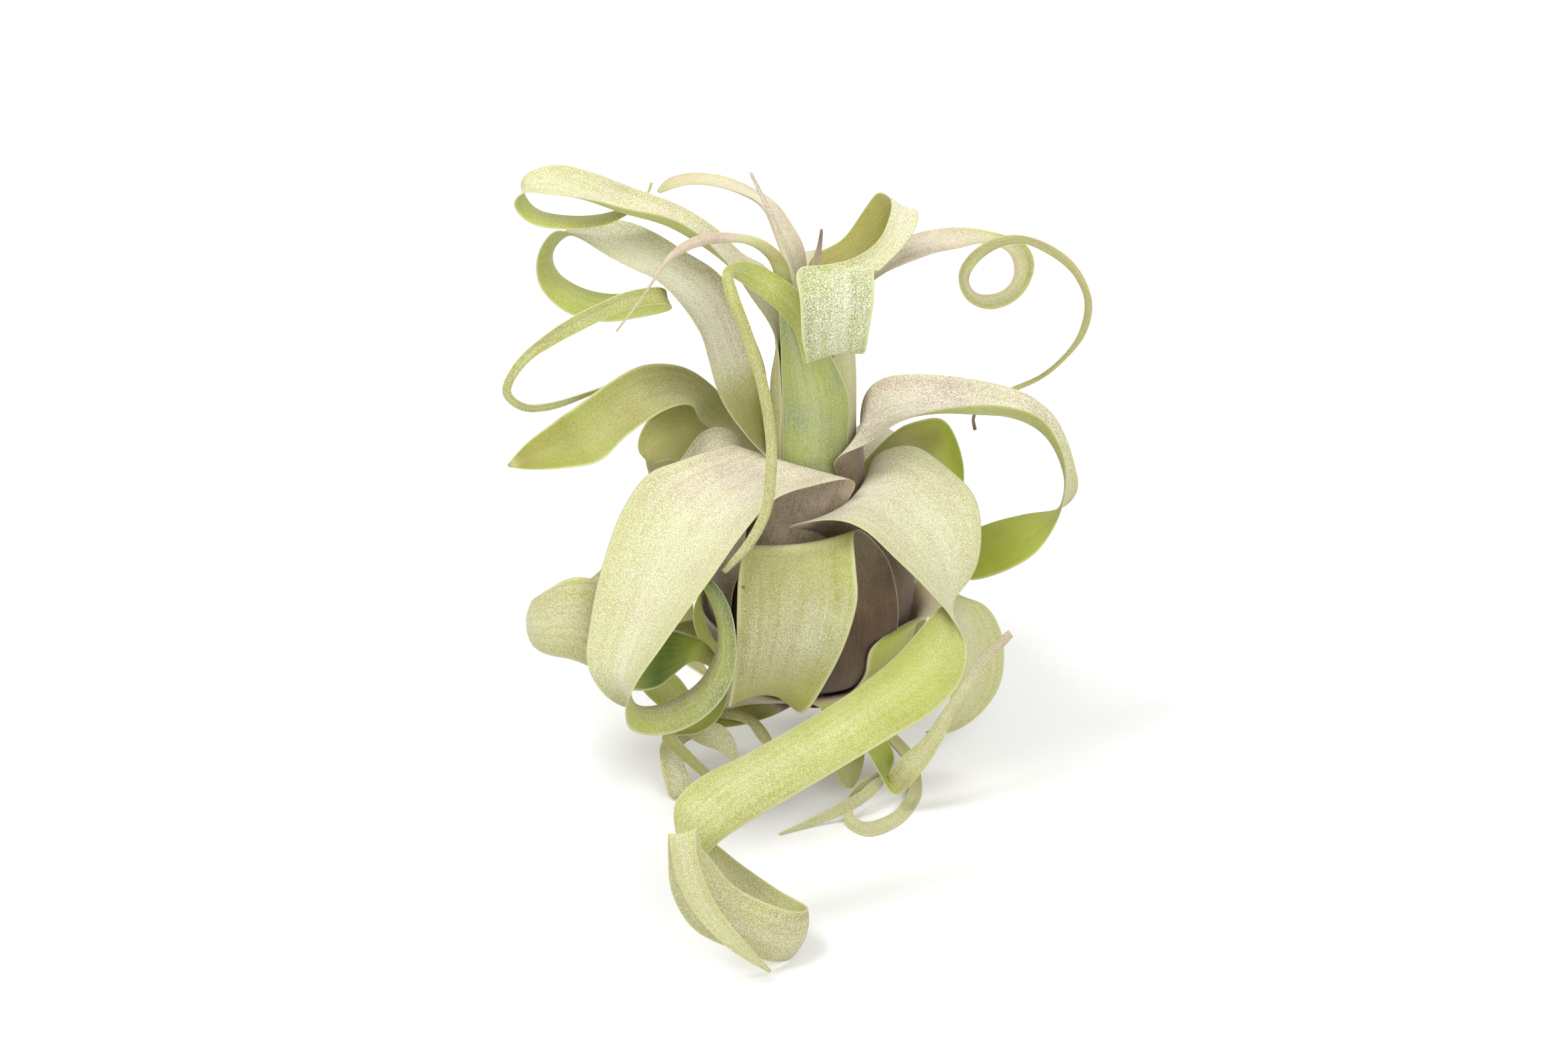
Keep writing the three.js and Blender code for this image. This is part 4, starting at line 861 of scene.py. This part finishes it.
grow_leaf(
    "leaf_low_curl", "leaf_pale", bulb_sheath(-1, 140, -50),
    upper=[(-1, .06, 0), (0, .5, .3), (3, .78, .25), (5.5, .76, .3), (7, .46, .6), (9, .42, .7),
           (10, .44, .5)],
    under=[(-1, .06, 0), (0, .5, .3), (3, .78, .25), (5.5, .76, .3), (7, .46, .6), (9, .42, .7),
           (10, .44, .5)],
    blade=[
        (-24, 42, 22, -28, 36, 6), (-38, 44, 14, -42, 34, 2), (-50, 38, 6, -49, 30, -4),
        (-54.6, 29, -4, -46, 30, -8), (-51.2, 22, -12, -41, 27, -12), (-47, 18, -16, -37.8, 22.8, -15),
        (-41, 12, -20, -34.4, 17.6, -18), (-36.6, 7.8, -23, -31.6, 14, -21),
        (-33, 6, -25, -27.6, 12.4, -23), (-28.8, 4.6, -26, -24.4, 8.6, -25),
        (-25, 1.4, -26, -22.8, 3, -26),
    ],
)

grow_leaf(
    "leaf_low_front", "leaf_olive", bulb_sheath(-2, -80, -70),
    upper=[(-1, .06, 0), (0, .3, .1), (2, .5, .3), (4, .44, .4)],
    under=[(-1, .06, 0), (0, .3, .1), (2, .5, .3), (4, .44, .4)],
    blade=[
        (0, 24, -10, 8, 26, -6), (2.6, 13, -15, 12, 15, -10), (5, 3, -22, 15, 5, -17),
        (6.6, -3, -26, 13.6, -3, -21), (9, -6.4, -27, 11.4, -6.4, -26),
    ],
)

# ---- floor, light and camera: a white table in a white light tent, under three large soft lamps.
# The camera stands 1.1 m away and looks 28 degrees down at the plant, as for the photograph.
FLOOR_SIZE, PAPER_GLOW, PAPER_GRAIN = 6.0, 0.06, 400.0
TENT_STRENGTH = 0.6
FOCAL_LENGTH, SENSOR_WIDTH = 84.15, 36.0

paper = blank_material("white_paper")
paper_grain = cloud(paper, add_node(paper, "ShaderNodeTexCoord", {}).outputs["Object"], PAPER_GRAIN)
paper_colour = blend_colour(paper, paper_grain, srgb(234, 234, 234), srgb(237, 237, 237))
paper_skin = add_node(paper, "ShaderNodeBsdfPrincipled", {
    "Base Color": paper_colour, "Roughness": 0.9,
    "Emission Color": srgb(255, 255, 255), "Emission Strength": PAPER_GLOW})
add_node(paper, "ShaderNodeOutputMaterial", {"Surface": paper_skin.outputs["BSDF"]})
floor_mesh = bmesh.new()
bmesh.ops.create_grid(floor_mesh, x_segments=1, y_segments=1, size=FLOOR_SIZE / 2)
floor_data = bpy.data.meshes.new("table")
floor_mesh.to_mesh(floor_data)
floor_mesh.free()
floor_data.materials.append(paper)
floor = bpy.data.objects.new("table", floor_data)
bpy.context.scene.collection.objects.link(floor)

tent = bpy.data.worlds.new("light_tent")
tent.use_nodes = True
tent.node_tree.nodes["Background"].inputs["Color"].default_value = (1.0, 1.0, 1.0, 1.0)
tent.node_tree.nodes["Background"].inputs["Strength"].default_value = TENT_STRENGTH
bpy.context.scene.world = tent

aim = AXIS + Vector((VIEW_RIGHT, 0, VIEW_HEIGHT)) * MM


def soft_lamp(name, place, size, power):
    """A large square lamp that faces the plant."""
    lamp = bpy.data.lights.new(name, "AREA")
    lamp.size = size
    lamp.energy = power
    holder = bpy.data.objects.new(name, lamp)
    holder.location = aim + Vector(place)
    holder.rotation_euler = (-Vector(place)).to_track_quat("-Z", "Y").to_euler()
    bpy.context.scene.collection.objects.link(holder)


soft_lamp("key", (-0.6, -0.3, 1.05), 0.5, 10.5)
soft_lamp("back", (0.55, 0.85, 0.8), 0.8, 6.0)
soft_lamp("fill", (0.4, -0.9, 0.7), 0.8, 7.0)

lens = bpy.data.cameras.new("camera")
lens.lens = FOCAL_LENGTH
lens.sensor_width = SENSOR_WIDTH
lens.clip_start = 0.01
camera = bpy.data.objects.new("camera", lens)
away = Vector((0, -math.cos(VIEW_TILT), math.sin(VIEW_TILT)))
camera.location = aim + away * VIEW_DISTANCE * MM
camera.rotation_euler = (-away).to_track_quat("-Z", "Y").to_euler()
bpy.context.scene.collection.objects.link(camera)
bpy.context.scene.camera = camera
bpy.context.scene.view_settings.view_transform = "Standard"
